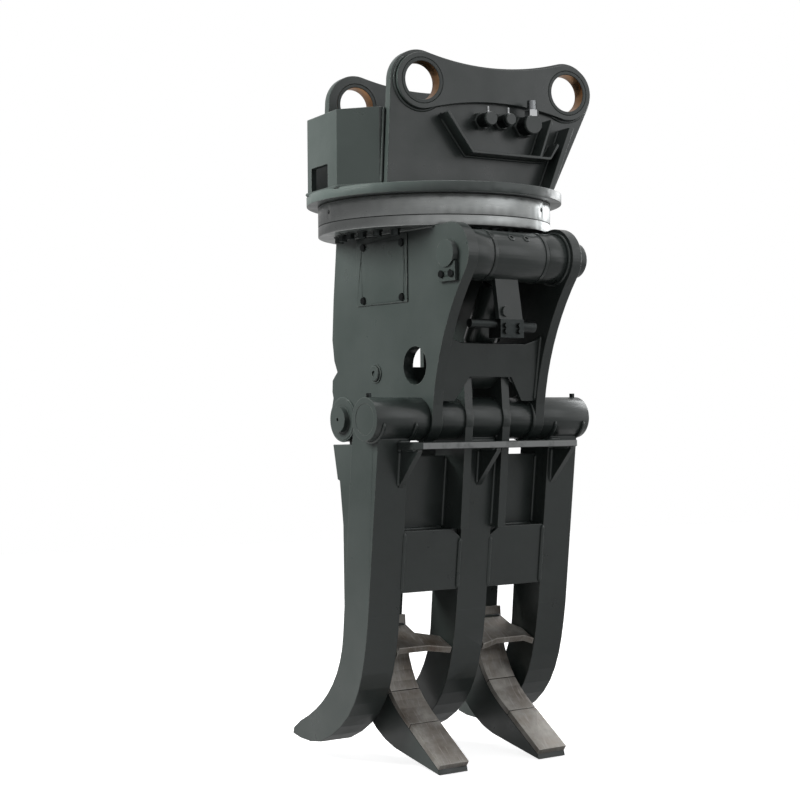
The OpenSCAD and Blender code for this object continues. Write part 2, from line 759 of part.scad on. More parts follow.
// Places a Z axis along the cylinder, from the top pin down
module down_cylinder() {
    translate([0, -top_pin_y, top_pin_z]) rotate([swing0, 0, 0]) rotate([-90, 0, 0]) children();
}
module cylinder_axis() {
    grab() down_cylinder() children();
}
collar_t = 6;
gland_t = 16;
barrel_start = top_boss_r + collar_t + gland_t / 2 + side_gap;
barrel_end = 197;
piston_t = 14;
neck_r = 31;
module rod_eye() {
    color(paint) grab() difference() {
        union() {
            bar(-top_eye_w / 2, top_eye_w / 2, -top_pin_y, top_pin_z, top_boss_r);
            down_cylinder() cylinder(r = barrel_r, h = top_boss_r + collar_t);
        }
        bar(-top_eye_w, top_eye_w, -top_pin_y, top_pin_z, top_pin_r + pin_fit);
    }
}
module piston_rod() {
    rod_start = top_boss_r + collar_t;
    rod_end = barrel_end - barrel_wall - seat_gap;
    color(steel) cylinder_axis() {
        translate([0, 0, rod_start]) cylinder(r = rod_r, h = rod_end - rod_start);
        translate([0, 0, rod_end - piston_t]) cylinder(r = barrel_r - barrel_wall - pin_fit, h = piston_t);
    }
}
// The bracket stands under the eye, in front of the barrel
bracket_y = 268;
bracket_t = 12;
bracket_top_x = [-48, 12];
bracket_low_x = [-36, 26];
bracket_low_z = 204;
bracket_boss_x = -20;
bracket_boss_z = 220;
bracket_boss_r = 11;
module valve_bracket() {
    top = top_pin_z - top_boss_r + bracket_t;
    color(paint) grab() difference() {
        union() {
            along(-bracket_y, bracket_t) polygon([[bracket_top_x[0], top], [bracket_top_x[1], top],
                [bracket_low_x[1], bracket_low_z], [bracket_low_x[0], bracket_low_z]]);
            translate([bracket_boss_x, -bracket_y, bracket_boss_z]) rotate([90, 0, 0])
                cylinder(r = bracket_boss_r, h = bracket_t / 2);
        }
        bar(-top_eye_w, top_eye_w, -top_pin_y, top_pin_z, top_boss_r);
        down_cylinder() cylinder(r = barrel_r + side_gap, h = pins_apart);
    }
}
block_x = [-33, 29];
block_low_z = 166;
block_back_y = 229;
left_stub_r = 9;
left_stub_len = 67;
right_stub_r = 13;
right_stub_len = 41;
plug_r = 6;
plug_in = 13;                  // how far the plugs stand inside the block's edges
module valve_block() {
    stub_y = -(bracket_y + block_back_y) / 2;
    color(dark_steel) grab() {
        translate([block_x[0], -bracket_y, block_low_z])
            cube([block_x[1] - block_x[0], bracket_y - block_back_y, bracket_low_z - block_low_z]);
        bar(block_x[0] - left_stub_len, block_x[0], stub_y, bracket_low_z - left_stub_r, left_stub_r);
        bar(block_x[1], block_x[1] + right_stub_len, stub_y, bracket_low_z - right_stub_r, right_stub_r);
        for (x = [block_x[0] + plug_in, block_x[1] - plug_in])
            for (z = [block_low_z + plug_in, bracket_low_z - plug_in])
                translate([x, -bracket_y, z]) rotate([90, 0, 0]) cylinder(r = plug_r, h = plug_r, $fn = 6);
    }
}
fitting_r = 9;
fitting_len = 20;
module cylinder_barrel() {
    color(paint) cylinder_axis() difference() {
        union() {
            translate([0, 0, barrel_start]) cylinder(r = barrel_r, h = barrel_end - barrel_start);
            translate([0, 0, barrel_end]) cylinder(r = neck_r, h = pins_apart - barrel_end - lever_eye_r / 2);
            translate([-lever_eye_w / 2, 0, pins_apart]) rotate([0, 90, 0])
                cylinder(r = lever_eye_r, h = lever_eye_w);
        }
        translate([0, 0, barrel_start - cut])
            cylinder(r = barrel_r - barrel_wall, h = barrel_end - barrel_wall - barrel_start + cut);
        translate([-lever_eye_w, 0, pins_apart]) rotate([0, 90, 0])
            cylinder(r = lever_pin_r + lever_play, h = 2 * lever_eye_w);
    }
}
lever_eye_r = 48;
lever_eye_play = 4;
lever_eye_w = tine_w - lever_eye_play;
module cylinder_gland() {
    color(dark_steel) cylinder_axis() {
        translate([0, 0, barrel_start - gland_t / 2]) difference() {
            union() {
                cylinder(r = barrel_r, h = gland_t / 2);
                cylinder(r = barrel_r - barrel_wall, h = gland_t);
            }
            translate([0, 0, -cut]) cylinder(r = rod_r + pin_fit, h = gland_t + 2 * cut);
        }
    }
}
module cylinder_fittings() {
    color(dark_steel) cylinder_axis() difference() {
        for (z = [barrel_start + gland_t + fitting_r, barrel_end - fitting_r])
            translate([barrel_r - barrel_wall, 0, z]) rotate([0, 90, 0])
                cylinder(r = fitting_r, h = fitting_len, $fn = 6);
        translate([0, 0, barrel_start]) cylinder(r = barrel_r, h = barrel_end - barrel_start);
    }
}

// Jaws

front_out_shares = [[-0.036, -0.012], [0.026, -0.564]];
front_heel_shares = [[0.026, -0.566], [0.053, -0.75], [0.083, -0.875], [0.279, -0.951]];
front_tip_shares = [[0.336, -0.958], [0.390, -0.955], [0.431, -0.946], [0.426, -0.928]];
front_palm_shares = [[0.390, -0.903], [0.250, -0.842], [0.169, -0.75], [0.156, -0.625]];
front_in_shares = [[0.104, -0.083], [0.090, -0.012]];
rear_out_shares = [[-0.030, -0.03], [0.003, -0.183], [0.014, -0.187], [0.031, -0.32], [0.033, -0.583]];
rear_heel_shares = [[0.033, -0.585], [0.036, -0.75], [0.139, -0.917], [0.288, -0.958]];
rear_tip_shares = [[0.503, -1.004]];
wear_start_shares = [[0.206, -0.583], [0.211, -0.75], [0.278, -0.819], [0.371, -0.879]];
wear_tip_shares = [[0.508, -0.975]];
rear_in_shares = [[0.195, -0.52], [0.104, -0.083], [0.060, -0.03]];

function sized(shares) = [for (s = shares) s * jaw_reach];
function front_outline() = concat(sized(front_out_shares), curve(sized(front_heel_shares), 9),
    sized(front_tip_shares), curve(sized(front_palm_shares), 9), sized(front_in_shares));
function wear_path() = concat(curve(sized(wear_start_shares)), sized(wear_tip_shares));
function rear_outline() = concat(sized(rear_out_shares), curve(sized(rear_heel_shares), 9),
    sized(rear_tip_shares), backwards(beside(wear_path(), -wear_t)), sized(rear_in_shares));

// A front profile is drawn about the front hinge, and a rear one is its mirror image
module front_profile() {
    translate([-hinge_y, 0]) children();
}
module rear_profile() {
    translate([hinge_y, 0]) mirror([1, 0]) children();
}
plate_t = 12;

module front_tine(x) {
    color(paint) grab() difference() {
        across(x - tine_w / 2, tine_w) front_profile() polygon(front_outline());
        bar(x - tine_w, x + tine_w, -hinge_y, 0, hinge_tube_r);
    }
}
module front_tine_left() { front_tine(-tine_pitch); }
module front_tine_middle() { front_tine(0); }
module front_tine_right() { front_tine(tine_pitch); }

module jaw_tubes() {
    color(paint) grab() {
        both_sides() {
            tube(side_out + side_gap, jaw_w / 2 - step_t, -hinge_y, 0, hinge_tube_r, bush_r);
            tube(jaw_w / 2 - step_t, jaw_w / 2, -hinge_y, 0, hinge_tube_r, hinge_pin_r + pin_fit);
        }
        tube(-ear_out_x, ear_out_x, -hinge_y, 0, hinge_tube_r, bush_r);
    }
}
module front_bushes() {
    color(bronze) grab() {
        both_sides()
            tube(side_out + side_gap, jaw_w / 2 - step_t, -hinge_y, 0, bush_r, hinge_pin_r + pin_fit);
        tube(-ear_out_x, ear_out_x, -hinge_y, 0, bush_r, hinge_pin_r + pin_fit);
    }
}
// A lever ear's outline about the front hinge, in shares of the beam's depth
lever_shares = [[-0.194, 0.05], [-0.194, -0.05], [-0.164, -0.345], [-0.103, -1], [0.32, -1],
    [0.26, -0.3], [0.25, 0.1], [0.24, 0.45]];
lever_end_r = 47;
lever_ring = 3;                // the lever ear's wall round the hinge tube
module lever_shape() {
    polygon([for (s = lever_shares) [-hinge_y, 0] + s * beam_top]);
    translate([access_y, access_z]) circle(r = lever_end_r);
    translate([-hinge_y, 0]) circle(r = hinge_tube_r + lever_ring);
    polygon([[-hinge_y - hinge_tube_r, 0], [access_y - lever_end_r, access_z],
        [access_y + lever_end_r, access_z], [-hinge_y + hinge_tube_r, 0]]);
}
module lever_ears() {
    color(paint) grab() both_sides() across(tine_w / 2, lever_t) difference() {
        lever_shape();
        translate([-hinge_y, 0]) circle(r = hinge_tube_r);
        translate([access_y, access_z]) circle(r = lever_pin_r);
    }
}
module lever_pin() {
    color(steel) grab() bar(-ear_out_x, ear_out_x, access_y, access_z, lever_pin_r);
}
beam_inset = 2;
// A line across the tine at depth z gives its front and inner face
function front_face(z) = let(a = sized(front_out_shares)[0], b = sized(front_out_shares)[1])
    a[0] + (b[0] - a[0]) * (z - a[1]) / (b[1] - a[1]);
function inner_face(z) = let(a = sized(front_in_shares)[0], b = sized(front_palm_shares)[3])
    a[0] + (b[0] - a[0]) * (z - a[1]) / (b[1] - a[1]);
beam_cut_w = 28;               // the corner left open beside the middle tine
beam_cut_h = 18;
module box_beams() {
    x0 = tine_w / 2;
    color(paint) grab() both_sides() difference() {
        across(x0, tine_pitch - tine_w) front_profile()
            polygon([[front_face(-beam_top) + beam_inset, -beam_top],
                [front_face(-beam_low) + beam_inset, -beam_low],
                [inner_face(-beam_low) - beam_inset, -beam_low],
                [inner_face(-beam_top) - beam_inset, -beam_top]]);
        along(-hinge_y + front_face(-beam_top), plate_t + beam_inset)
            polygon([[x0 - cut, cut - beam_top], [x0 + beam_cut_w, cut - beam_top],
                [x0 - cut, -beam_top - beam_cut_h]]);
    }
}
panel_top = 78;
panel_back = 42;               // the panels stand this far behind the tines' front
module web_panels() {
    x0 = tine_w / 2 + lever_t;
    u0 = front_face(-panel_top) + panel_back;
    u1 = front_face(-beam_top) + panel_back;
    color(paint) grab() both_sides() across(x0, tine_pitch - tine_w / 2 - x0) front_profile()
        polygon([[u0, -panel_top], [u1, -beam_top], [u1 + plate_t, -beam_top], [u0 + plate_t, -panel_top]]);
}
step_top = 48;
module step_plate() {
    y1 = hinge_y - front_face(-step_top);
    chamfer = step_t;
    color(paint_light) grab() difference() {
        translate([0, 0, -step_top - step_t]) linear_extrude(step_t)
            polygon([[-step_w / 2, -step_reach + chamfer], [chamfer - step_w / 2, -step_reach],
                [step_w / 2 - chamfer, -step_reach], [step_w / 2, -step_reach + chamfer],
                [step_w / 2, -y1], [-step_w / 2, -y1]]);
        both_sides() across(tine_w / 2 - seat_gap, lever_t + 2 * seat_gap) lever_shape();
    }
}
gusset_h = 80;
gusset_pitch_share = 0.9;      // gusset spacing over tine spacing
module step_gussets() {
    z0 = -step_top - step_t;
    color(paint) grab() for (i = [-1:1])
        across(i * tine_pitch * gusset_pitch_share - plate_t / 2, plate_t) polygon([
            [-hinge_y + front_face(z0), z0], [-step_reach + plate_t, z0],
            [-step_reach + plate_t, z0 - plate_t / 2],
            [-hinge_y + front_face(z0 - gusset_h), z0 - gusset_h]]);
}
nipple_in = 11;                // from the outer end of the hinge tube
nipple_r = 6;
nipple_h = 8;
module grease_fittings() {
    color(steel) grab() both_sides() difference() {
        translate([jaw_w / 2 - nipple_in, -hinge_y, hinge_tube_r - nipple_r])
            cylinder(r = nipple_r, h = nipple_h + nipple_r, $fn = 6);
        bar(side_out, jaw_w, -hinge_y, 0, hinge_tube_r);
    }
}

rear_x = rear_pitch / 2;
rear_in = rear_x - rear_w / 2;
rear_out = rear_x + rear_w / 2;
lug_room = 55;                 // how far below the hinge a rear tine starts, under the side plate
module rear_tine() {
    grab() difference() {
        across(rear_in, rear_w) rear_profile() polygon(rear_outline());
        translate([side_in - side_gap, -hinge_pitch, -lug_room])
            cube([rear_w, 2 * hinge_pitch, lug_room + hinge_tube_r]);
        bar(rear_in - cut, rear_out + cut, hinge_y, 0, hinge_tube_r);
    }
}
module rear_tine_right() { color(paint) rear_tine(); }
module rear_tine_left() { color(paint) grab() mirror([1, 0, 0]) ungrab() rear_tine(); }
// Undoes grab(), so that a placed piece can be mirrored
module ungrab() {
    rotate([0, 0, -slew_rest]) translate([-slew_offset, 0, hinge_drop]) children();
}
module rear_tube() {
    color(paint) grab() tube(side_gap - side_in, side_in - side_gap, hinge_y, 0, hinge_tube_r, bush_r);
}
module rear_bushes() {
    color(bronze) grab() both_sides()
        tube(pin_inner_end, side_in - side_gap, hinge_y, 0, bush_r, hinge_pin_r + pin_fit);
}
wear_gap = 2;
// Which stretch of the wear path each plate covers
wear_spans = [[0, 6], [6, 10], [10, 11]];
module wear_plates(x) {
    path = wear_path();
    last = len(path) - 1;
    grab() for (s = wear_spans) {
        p = [for (i = [s[0]:s[1]]) path[i]];
        u = (p[len(p) - 1] - p[len(p) - 2]) / norm(p[len(p) - 1] - p[len(p) - 2]);
        q = [for (i = [0:len(p) - 1]) i < len(p) - 1 || s[1] == last ? p[i] : p[i] - u * wear_gap];
        inner = beside(path, -wear_t);
        r = [for (i = [s[0]:s[1]]) i < s[1] || s[1] == last ? inner[i] : inner[i] - u * wear_gap];
        across(x - rear_w / 2, rear_w) rear_profile() polygon(concat(q, backwards(r)));
    }
}
module wear_plates_left() { color(worn_steel) wear_plates(-rear_x); }
module wear_plates_right() { color(worn_steel) wear_plates(rear_x); }

catch_share = 0.6056;          // depth of the catch plates over the jaw's reach
catch_z = catch_share * jaw_reach;
catch_tilt = 25;
catch_reach = 118;
catch_gap = 3;                 // gap between a catch plate's arms and the front tines
arm_w = 48;
module catch_plates() {
    s0 = rear_in;
    s1 = rear_out;
    a0 = tine_w / 2 + catch_gap;
    a1 = tine_pitch - tine_w / 2 - catch_gap;
    y1 = arm_w / 3 - catch_reach;
    color(worn_steel) grab() both_sides() difference() {
        translate([0, 0, -catch_z]) rotate([catch_tilt, 0, 0]) translate([0, 0, -catch_t])
            linear_extrude(catch_t)
                polygon([[s0, 0], [s1, 0], [s1, -arm_w], [a1, arm_w - catch_reach], [a1, -catch_reach],
                    [s1, y1], [s0, y1], [a0, -catch_reach], [a0, arm_w - catch_reach], [s0, -arm_w]]);
        across(rear_in - cut, rear_w + 2 * cut) rear_profile()
            polygon(concat(wear_path(), [[0, -jaw_reach], [0, -jaw_reach / 2]]));
    }
}
box_top = 52;
box_low = 300;
module rear_cross_box() {
    color(paint) grab() across(-rear_in, 2 * rear_in) rear_profile()
        polygon([[box_front, -box_top], [box_front + box_lean, -box_low],
            [box_front + box_lean + box_depth, -box_low], [box_front + box_depth, -box_top]]);
}
box_front = 20;
box_lean = 22;
box_depth = 40;

ear_plate_near();
ear_plate_far();
ear_doublers();
ear_bushes();
base_disc();
motor_housing();
cross_web();
port_guard();
port_stubs();
ear_rib();
slew_motor();
drive_pinion();
outer_race();
race_bolts();
bearing_balls();
swivel_core();
slew_flange();
flange_bolts();
slew_gear();
swivel_housing();
side_plate_left();
side_plate_right();
front_plate();
back_plate();
cover_plate();
frame_bolts();
front_hinge_bosses();
rear_hinge_bosses();
front_hinge_pin();
rear_hinge_pins();
top_pin_bosses();
top_pin();
pin_keeper();
rod_eye();
piston_rod();
valve_bracket();
valve_block();
cylinder_barrel();
cylinder_gland();
cylinder_fittings();
jaw_tubes();
front_bushes();
front_tine_left();
front_tine_middle();
front_tine_right();
lever_ears();
lever_pin();
box_beams();
web_panels();
step_plate();
step_gussets();
grease_fittings();
rear_tube();
rear_bushes();
rear_tine_left();
rear_tine_right();
wear_plates_left();
wear_plates_right();
catch_plates();
rear_cross_box();
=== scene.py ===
import bpy
import bmesh
import json
import math
import random
from mathutils import Matrix, Vector


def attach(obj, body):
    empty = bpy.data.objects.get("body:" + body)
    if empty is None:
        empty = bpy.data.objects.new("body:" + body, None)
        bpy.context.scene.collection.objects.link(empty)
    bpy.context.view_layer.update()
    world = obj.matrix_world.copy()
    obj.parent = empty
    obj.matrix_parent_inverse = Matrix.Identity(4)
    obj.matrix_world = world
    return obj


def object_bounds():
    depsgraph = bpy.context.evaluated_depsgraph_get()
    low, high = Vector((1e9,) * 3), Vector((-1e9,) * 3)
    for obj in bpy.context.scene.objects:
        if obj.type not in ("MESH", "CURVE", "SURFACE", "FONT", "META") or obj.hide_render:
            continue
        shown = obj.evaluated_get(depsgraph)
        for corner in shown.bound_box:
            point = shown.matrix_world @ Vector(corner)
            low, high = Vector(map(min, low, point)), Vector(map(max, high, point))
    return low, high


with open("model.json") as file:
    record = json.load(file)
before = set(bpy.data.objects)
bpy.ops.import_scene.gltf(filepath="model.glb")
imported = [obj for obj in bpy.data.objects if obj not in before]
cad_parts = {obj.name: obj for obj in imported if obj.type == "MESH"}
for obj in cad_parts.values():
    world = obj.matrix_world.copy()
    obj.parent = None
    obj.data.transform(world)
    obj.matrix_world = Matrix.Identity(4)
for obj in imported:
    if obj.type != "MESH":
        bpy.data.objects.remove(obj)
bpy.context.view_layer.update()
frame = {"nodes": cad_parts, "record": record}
nodes = frame["nodes"]
print("frame loaded:", len(nodes), "nodes")

# places and sizes of pieces are in millimetres, as in the part's source
# the grab's own frame is turned about the slewing axis, with its origin midway between the jaw hinges
grab = {"turn": 9, "axisX": 117, "hingeDrop": 703, "hingeY": 138, "topPin": (-250, 335)}
grabTurn = Matrix.Rotation(math.radians(grab["turn"]), 3, "Z")


def rowPoint(x, y, z):
    return Vector((x, y, z)) / 1000


def grabPoint(x, y, z):
    p = grabTurn @ Vector((x, y, z))
    return rowPoint(p.x + grab["axisX"], p.y, p.z - grab["hingeDrop"])


def grabWay(x, y, z):
    return grabTurn @ Vector((x, y, z))


def startMaterial(name, color, metallic, roughness):
    mat = bpy.data.materials.new(name)
    mat.use_nodes = True
    mat.diffuse_color = (*color, 1)
    tree = mat.node_tree
    shader = tree.nodes["Principled BSDF"]
    shader.inputs["Base Color"].default_value = (*color, 1)
    shader.inputs["Metallic"].default_value = metallic
    shader.inputs["Roughness"].default_value = roughness
    coords = tree.nodes.new("ShaderNodeTexCoord")
    return mat, tree, shader, coords.outputs["Object"]


def feed(tree, node, values):
    # each value is an output to link or a number to set, in the order of the node's inputs
    for socket, value in zip(node.inputs, values):
        if isinstance(value, bpy.types.NodeSocket):
            tree.links.new(value, socket)
        else:
            socket.default_value = value


def addMath(tree, operation, *values):
    node = tree.nodes.new("ShaderNodeMath")
    node.operation = operation
    feed(tree, node, values)
    return node.outputs["Value"]


def addDot(tree, first, second):
    node = tree.nodes.new("ShaderNodeVectorMath")
    node.operation = "DOT_PRODUCT"
    feed(tree, node, (first, second))
    return node.outputs["Value"]


def addNoise(tree, vector, scale, detail, rough=0.55, stretch=None):
    if stretch:
        mapping = tree.nodes.new("ShaderNodeMapping")
        mapping.inputs["Scale"].default_value = stretch
        tree.links.new(vector, mapping.inputs["Vector"])
        vector = mapping.outputs["Vector"]
    noise = tree.nodes.new("ShaderNodeTexNoise")
    noise.inputs["Scale"].default_value = scale
    noise.inputs["Detail"].default_value = detail
    noise.inputs["Roughness"].default_value = rough
    tree.links.new(vector, noise.inputs["Vector"])
    return noise.outputs["Fac"]


def addRamp(tree, value, stops, colors):
    ramp = tree.nodes.new("ShaderNodeValToRGB")
    band = ramp.color_ramp
    while len(band.elements) < len(stops):
        band.elements.new(0.5)
    for element, stop, color in zip(band.elements, stops, colors):
        element.position = stop
        element.color = (*color, 1)
    tree.links.new(value, ramp.inputs["Fac"])
    return ramp.outputs["Color"]


def mapRange(tree, value, low, high, outLow, outHigh):
    node = tree.nodes.new("ShaderNodeMapRange")
    for key, number in (("From Min", low), ("From Max", high), ("To Min", outLow), ("To Max", outHigh)):
        node.inputs[key].default_value = number
    tree.links.new(value, node.inputs["Value"])
    return node.outputs["Result"]


def mixColor(tree, factor, first, second):
    node = tree.nodes.new("ShaderNodeMix")
    node.data_type = "RGBA"
    tree.links.new(factor, node.inputs["Factor"])
    for socket, source in ((node.inputs["A"], first), (node.inputs["B"], second)):
        if isinstance(source, tuple):
            socket.default_value = (*source, 1)
        else:
            tree.links.new(source, socket)
    return node.outputs["Result"]


def addBump(tree, shader, *heights):
    # each height is a noise, a strength and a distance in metres
    normal = None
    for height, strength, distance in heights:
        bump = tree.nodes.new("ShaderNodeBump")
        bump.inputs["Strength"].default_value = strength
        bump.inputs["Distance"].default_value = distance
        tree.links.new(height, bump.inputs["Height"])
        if normal:
            tree.links.new(normal, bump.inputs["Normal"])
        normal = bump.outputs["Normal"]
    tree.links.new(normal, shader.inputs["Normal"])


def edgeMask(tree, radius, low, high, samples=4):
    # how far the rounded normal leans away from the flat one
    bevel = tree.nodes.new("ShaderNodeBevel")
    bevel.samples = samples
    bevel.inputs["Radius"].default_value = radius
    geometry = tree.nodes.new("ShaderNodeNewGeometry")
    lean = addDot(tree, bevel.outputs["Normal"], geometry.outputs["Normal"])
    return mapRange(tree, lean, low, high, 1.0, 0.0)


# a noise is scale, detail, roughness and stretch; a share is a noise's low and high and what they turn into
paint = {
    "green": (0.031, 0.0405, 0.0375), "faded": (0.047, 0.0575, 0.0545), "edge": (0.17, 0.175, 0.165),
    "plainRoughness": 0.42, "roughness": (0.26, 0.46), "coat": 0.28, "coatRoughness": 0.22,
    "cloud": (5.5, 5), "cloudStops": (0.32, 0.72),
    "streak": (9.0, 6, 0.6, (2.2, 2.2, 0.35)), "streakShare": (0.58, 0.8, 0.0, 0.32),
    "speck": (90.0, 3, 0.7), "speckStops": (0.5, 0.62), "chippedEdge": (0.0025, 0.9, 0.995),
    "sheen": (14.0, 5), "sheenStops": (0.3, 0.7),
    "peel": (260.0, 2), "peelBump": (0.12, 0.0006), "wave": (22.0, 3), "waveBump": (0.1, 0.002),
}
# how much lighter than the plain green, and how chipped along the edges
paintCoats = {
    "satinGreenPaint": (1.0, 0.5),
    "satinGreenPaintPale": (1.12, 0.7),
    # the disc's paint is lifted to the brightness of its edge, partly for worn paint and partly as painted
    # highlight
    "discPaintAndHighlight": (1.9, 1.0),
    "scuffedStep": (1.0, 0.7),
    # the welds' paint is lifted lighter as painted highlight for the beads' bright spots, and is more
    # chipped along its edges
    "weldPaintAndHighlight": (1.25, 0.9),
}


def makePaint(name):
    lift, wear = paintCoats[name]
    dark = tuple(c * lift for c in paint["green"])
    pale = tuple(c * lift for c in paint["faded"])
    mat, tree, shader, at = startMaterial(name, dark, 0.0, paint["plainRoughness"])
    shader.inputs["Coat Weight"].default_value = paint["coat"]
    shader.inputs["Coat Roughness"].default_value = paint["coatRoughness"]
    cloud, streak, speck, sheen, peel, wave = (
        addNoise(tree, at, *paint[k]) for k in ("cloud", "streak", "speck", "sheen", "peel", "wave"))
    color = addRamp(tree, cloud, paint["cloudStops"], (dark, pale))
    color = mixColor(tree, mapRange(tree, streak, *paint["streakShare"]), color, paint["faded"])
    worn = mapRange(tree, speck, *paint["speckStops"], 0.0, wear)
    chips = addMath(tree, "MULTIPLY", edgeMask(tree, *paint["chippedEdge"]), worn)
    color = mixColor(tree, chips, color, paint["edge"])
    tree.links.new(color, shader.inputs["Base Color"])
    roughness = mapRange(tree, sheen, *paint["sheenStops"], *paint["roughness"])
    tree.links.new(roughness, shader.inputs["Roughness"])
    addBump(tree, shader, (peel, *paint["peelBump"]), (wave, *paint["waveBump"]))
    return mat


steelGrain = {
    "cloud": (12.0, 5), "cloudStops": (0.3, 0.75), "detail": 4, "rough": 0.65,
    "shade": (0.35, 0.75, 0.0, 0.35), "sheenStops": (0.3, 0.7), "bump": 0.2,
}
steels = {
    "turnedRaceSteel": {
        "dark": (0.27, 0.283, 0.28), "pale": (0.38, 0.39, 0.387), "roughness": (0.26, 0.4),
        "grain": 40.0, "stretch": (1.0, 1.0, 9.0), "depth": 0.0005,
    },
    "blackedSteel": {
        "dark": (0.035, 0.04, 0.04), "pale": (0.06, 0.065, 0.064), "roughness": (0.35, 0.55),
        "grain": 120.0, "stretch": None, "depth": 0.0004,
    },
    "pinSteel": {
        "dark": (0.2, 0.21, 0.21), "pale": (0.3, 0.31, 0.3), "roughness": (0.3, 0.5),
        "grain": 80.0, "stretch": (1, 5, 5), "depth": 0.0004,
    },
    "hardChrome": {
        "dark": (0.5, 0.51, 0.52), "pale": (0.62, 0.63, 0.64), "roughness": (0.08, 0.16),
        "grain": 160.0, "stretch": (1, 1, 6), "depth": 0.0001,
    },
    "bushBronze": {
        "dark": (0.36, 0.19, 0.09), "pale": (0.55, 0.31, 0.16), "roughness": (0.28, 0.42),
        "grain": 120.0, "stretch": (1, 6, 1), "depth": 0.0003,
    },
}


def makeSteel(name):
    steel = steels[name]
    mat, tree, shader, at = startMaterial(name, steel["dark"], 1.0, steel["roughness"][0])
    cloud = addNoise(tree, at, *steelGrain["cloud"])
    grain = addNoise(tree, at, steel["grain"], steelGrain["detail"], steelGrain["rough"], steel["stretch"])
    color = addRamp(tree, cloud, steelGrain["cloudStops"], (steel["dark"], steel["pale"]))
    color = mixColor(tree, mapRange(tree, grain, *steelGrain["shade"]), color, steel["dark"])
    tree.links.new(color, shader.inputs["Base Color"])
    roughness = mapRange(tree, grain, *steelGrain["sheenStops"], *steel["roughness"])
    tree.links.new(roughness, shader.inputs["Roughness"])
    addBump(tree, shader, (grain, steelGrain["bump"], steel["depth"]))
    return mat


# distances from the middle plane, in metres, over which the bare bore turns into the painted faces
earBushFace = {"outer": (0.1735, 0.1745), "inner": (0.1426, 0.1432)}


def makeEarBush(name):
    # bronze in the bore, and overpainted on the end faces
    mat = makeSteel(name)
    tree = mat.node_tree
    shader = tree.nodes["Principled BSDF"]
    coords = tree.nodes.new("ShaderNodeTexCoord")
    parts = tree.nodes.new("ShaderNodeSeparateXYZ")
    tree.links.new(coords.outputs["Object"], parts.inputs["Vector"])
    fromMiddle = addMath(tree, "ABSOLUTE", parts.outputs["Y"])
    outer = mapRange(tree, fromMiddle, *earBushFace["outer"], 0.0, 1.0)
    inner = mapRange(tree, fromMiddle, *earBushFace["inner"], 1.0, 0.0)
    face = addMath(tree, "MAXIMUM", outer, inner)
    bare = shader.inputs["Base Color"].links[0].from_socket
    tree.links.new(mixColor(tree, face, bare, paint["faded"]), shader.inputs["Base Color"])
    tree.links.new(mapRange(tree, face, 0.0, 1.0, 1.0, 0.0), shader.inputs["Metallic"])
    return mat


wornPlate = {
    "steel": (0.3, 0.28, 0.255), "rust": (0.15, 0.118, 0.095), "pale": (0.55, 0.53, 0.5),
    "metallic": 0.65, "plainRoughness": 0.6, "roughness": (0.4, 0.7),
    "cloud": (16.0, 7, 0.62), "cloudStops": (0.3, 0.52, 0.74), "sheenStops": (0.3, 0.7),
    "scratch": (30.0, 5, 0.6, (7.0, 0.6, 0.6)), "scratchShare": (0.55, 0.72, 0.0, 0.55),
    "rubbedEdge": (0.003, 0.88, 0.995), "rubbed": 0.7,
    "cloudBump": (0.3, 0.002), "scratchBump": (0.25, 0.0008),
}


def makeWorn(name):
    plate = wornPlate
    mat, tree, shader, at = startMaterial(name, plate["steel"], plate["metallic"], plate["plainRoughness"])
    cloud = addNoise(tree, at, *plate["cloud"])
    scratch = addNoise(tree, at, *plate["scratch"])
    color = addRamp(tree, cloud, plate["cloudStops"], (plate["rust"], plate["steel"], plate["pale"]))
    color = mixColor(tree, mapRange(tree, scratch, *plate["scratchShare"]), color, plate["pale"])
    rubbed = addMath(tree, "MULTIPLY", edgeMask(tree, *plate["rubbedEdge"]), plate["rubbed"])
    color = mixColor(tree, rubbed, color, plate["pale"])
    tree.links.new(color, shader.inputs["Base Color"])
    roughness = mapRange(tree, cloud, *plate["sheenStops"], *plate["roughness"])
    tree.links.new(roughness, shader.inputs["Roughness"])
    addBump(tree, shader, (cloud, *plate["cloudBump"]), (scratch, *plate["scratchBump"]))
    return mat


stepEdge = {
    "pale": (0.5, 0.51, 0.505), "facing": (0.9, 0.97),
    "scuff": (35.0, 5), "scuffShare": (0.3, 0.5, 0.45, 1.0),
}


def makeStepPaint(name, ahead):
    # paint that is scuffed to pale metal on the face that looks along ahead
    mat = makePaint(name)
    tree = mat.node_tree
    shader = tree.nodes["Principled BSDF"]
    coords = tree.nodes.new("ShaderNodeTexCoord")
    facing = addDot(tree, coords.outputs["Normal"], ahead)
    scuff = addNoise(tree, coords.outputs["Object"], *stepEdge["scuff"])
    scuff = mapRange(tree, scuff, *stepEdge["scuffShare"])
    mask = addMath(tree, "MULTIPLY", mapRange(tree, facing, *stepEdge["facing"], 0.0, 1.0), scuff)
    painted = shader.inputs["Base Color"].links[0].from_socket
    tree.links.new(mixColor(tree, mask, painted, stepEdge["pale"]), shader.inputs["Base Color"])
    return mat


finishes = {
    "body_paint": makePaint("satinGreenPaint"),
    "light_paint": makePaint("satinGreenPaintPale"),
    "race_steel": makeSteel("turnedRaceSteel"),
    "worn_steel": makeWorn("wornWearPlate"),
    "dark_steel": makeSteel("blackedSteel"),
    "pin_steel": makeSteel("pinSteel"),
    "rod_chrome": makeSteel("hardChrome"),
    "bronze": makeEarBush("bushBronze"),
}
ownFinishes = {
    "step_plate": makeStepPaint("scuffedStep", grabWay(0, -1, 0)),
    # the disc's lighter paint is partly painted highlight
    "base_disc": makePaint("discPaintAndHighlight"),
    "slew_flange": finishes["race_steel"],
}
print("finishes made:", len(finishes) + len(ownFinishes))

for part in frame["record"]["subparts"]:
    node = nodes[part["node"]]
    node.data.materials.clear()
    node.data.materials.append(ownFinishes.get(part["node"], finishes[part["material_slot"]]))

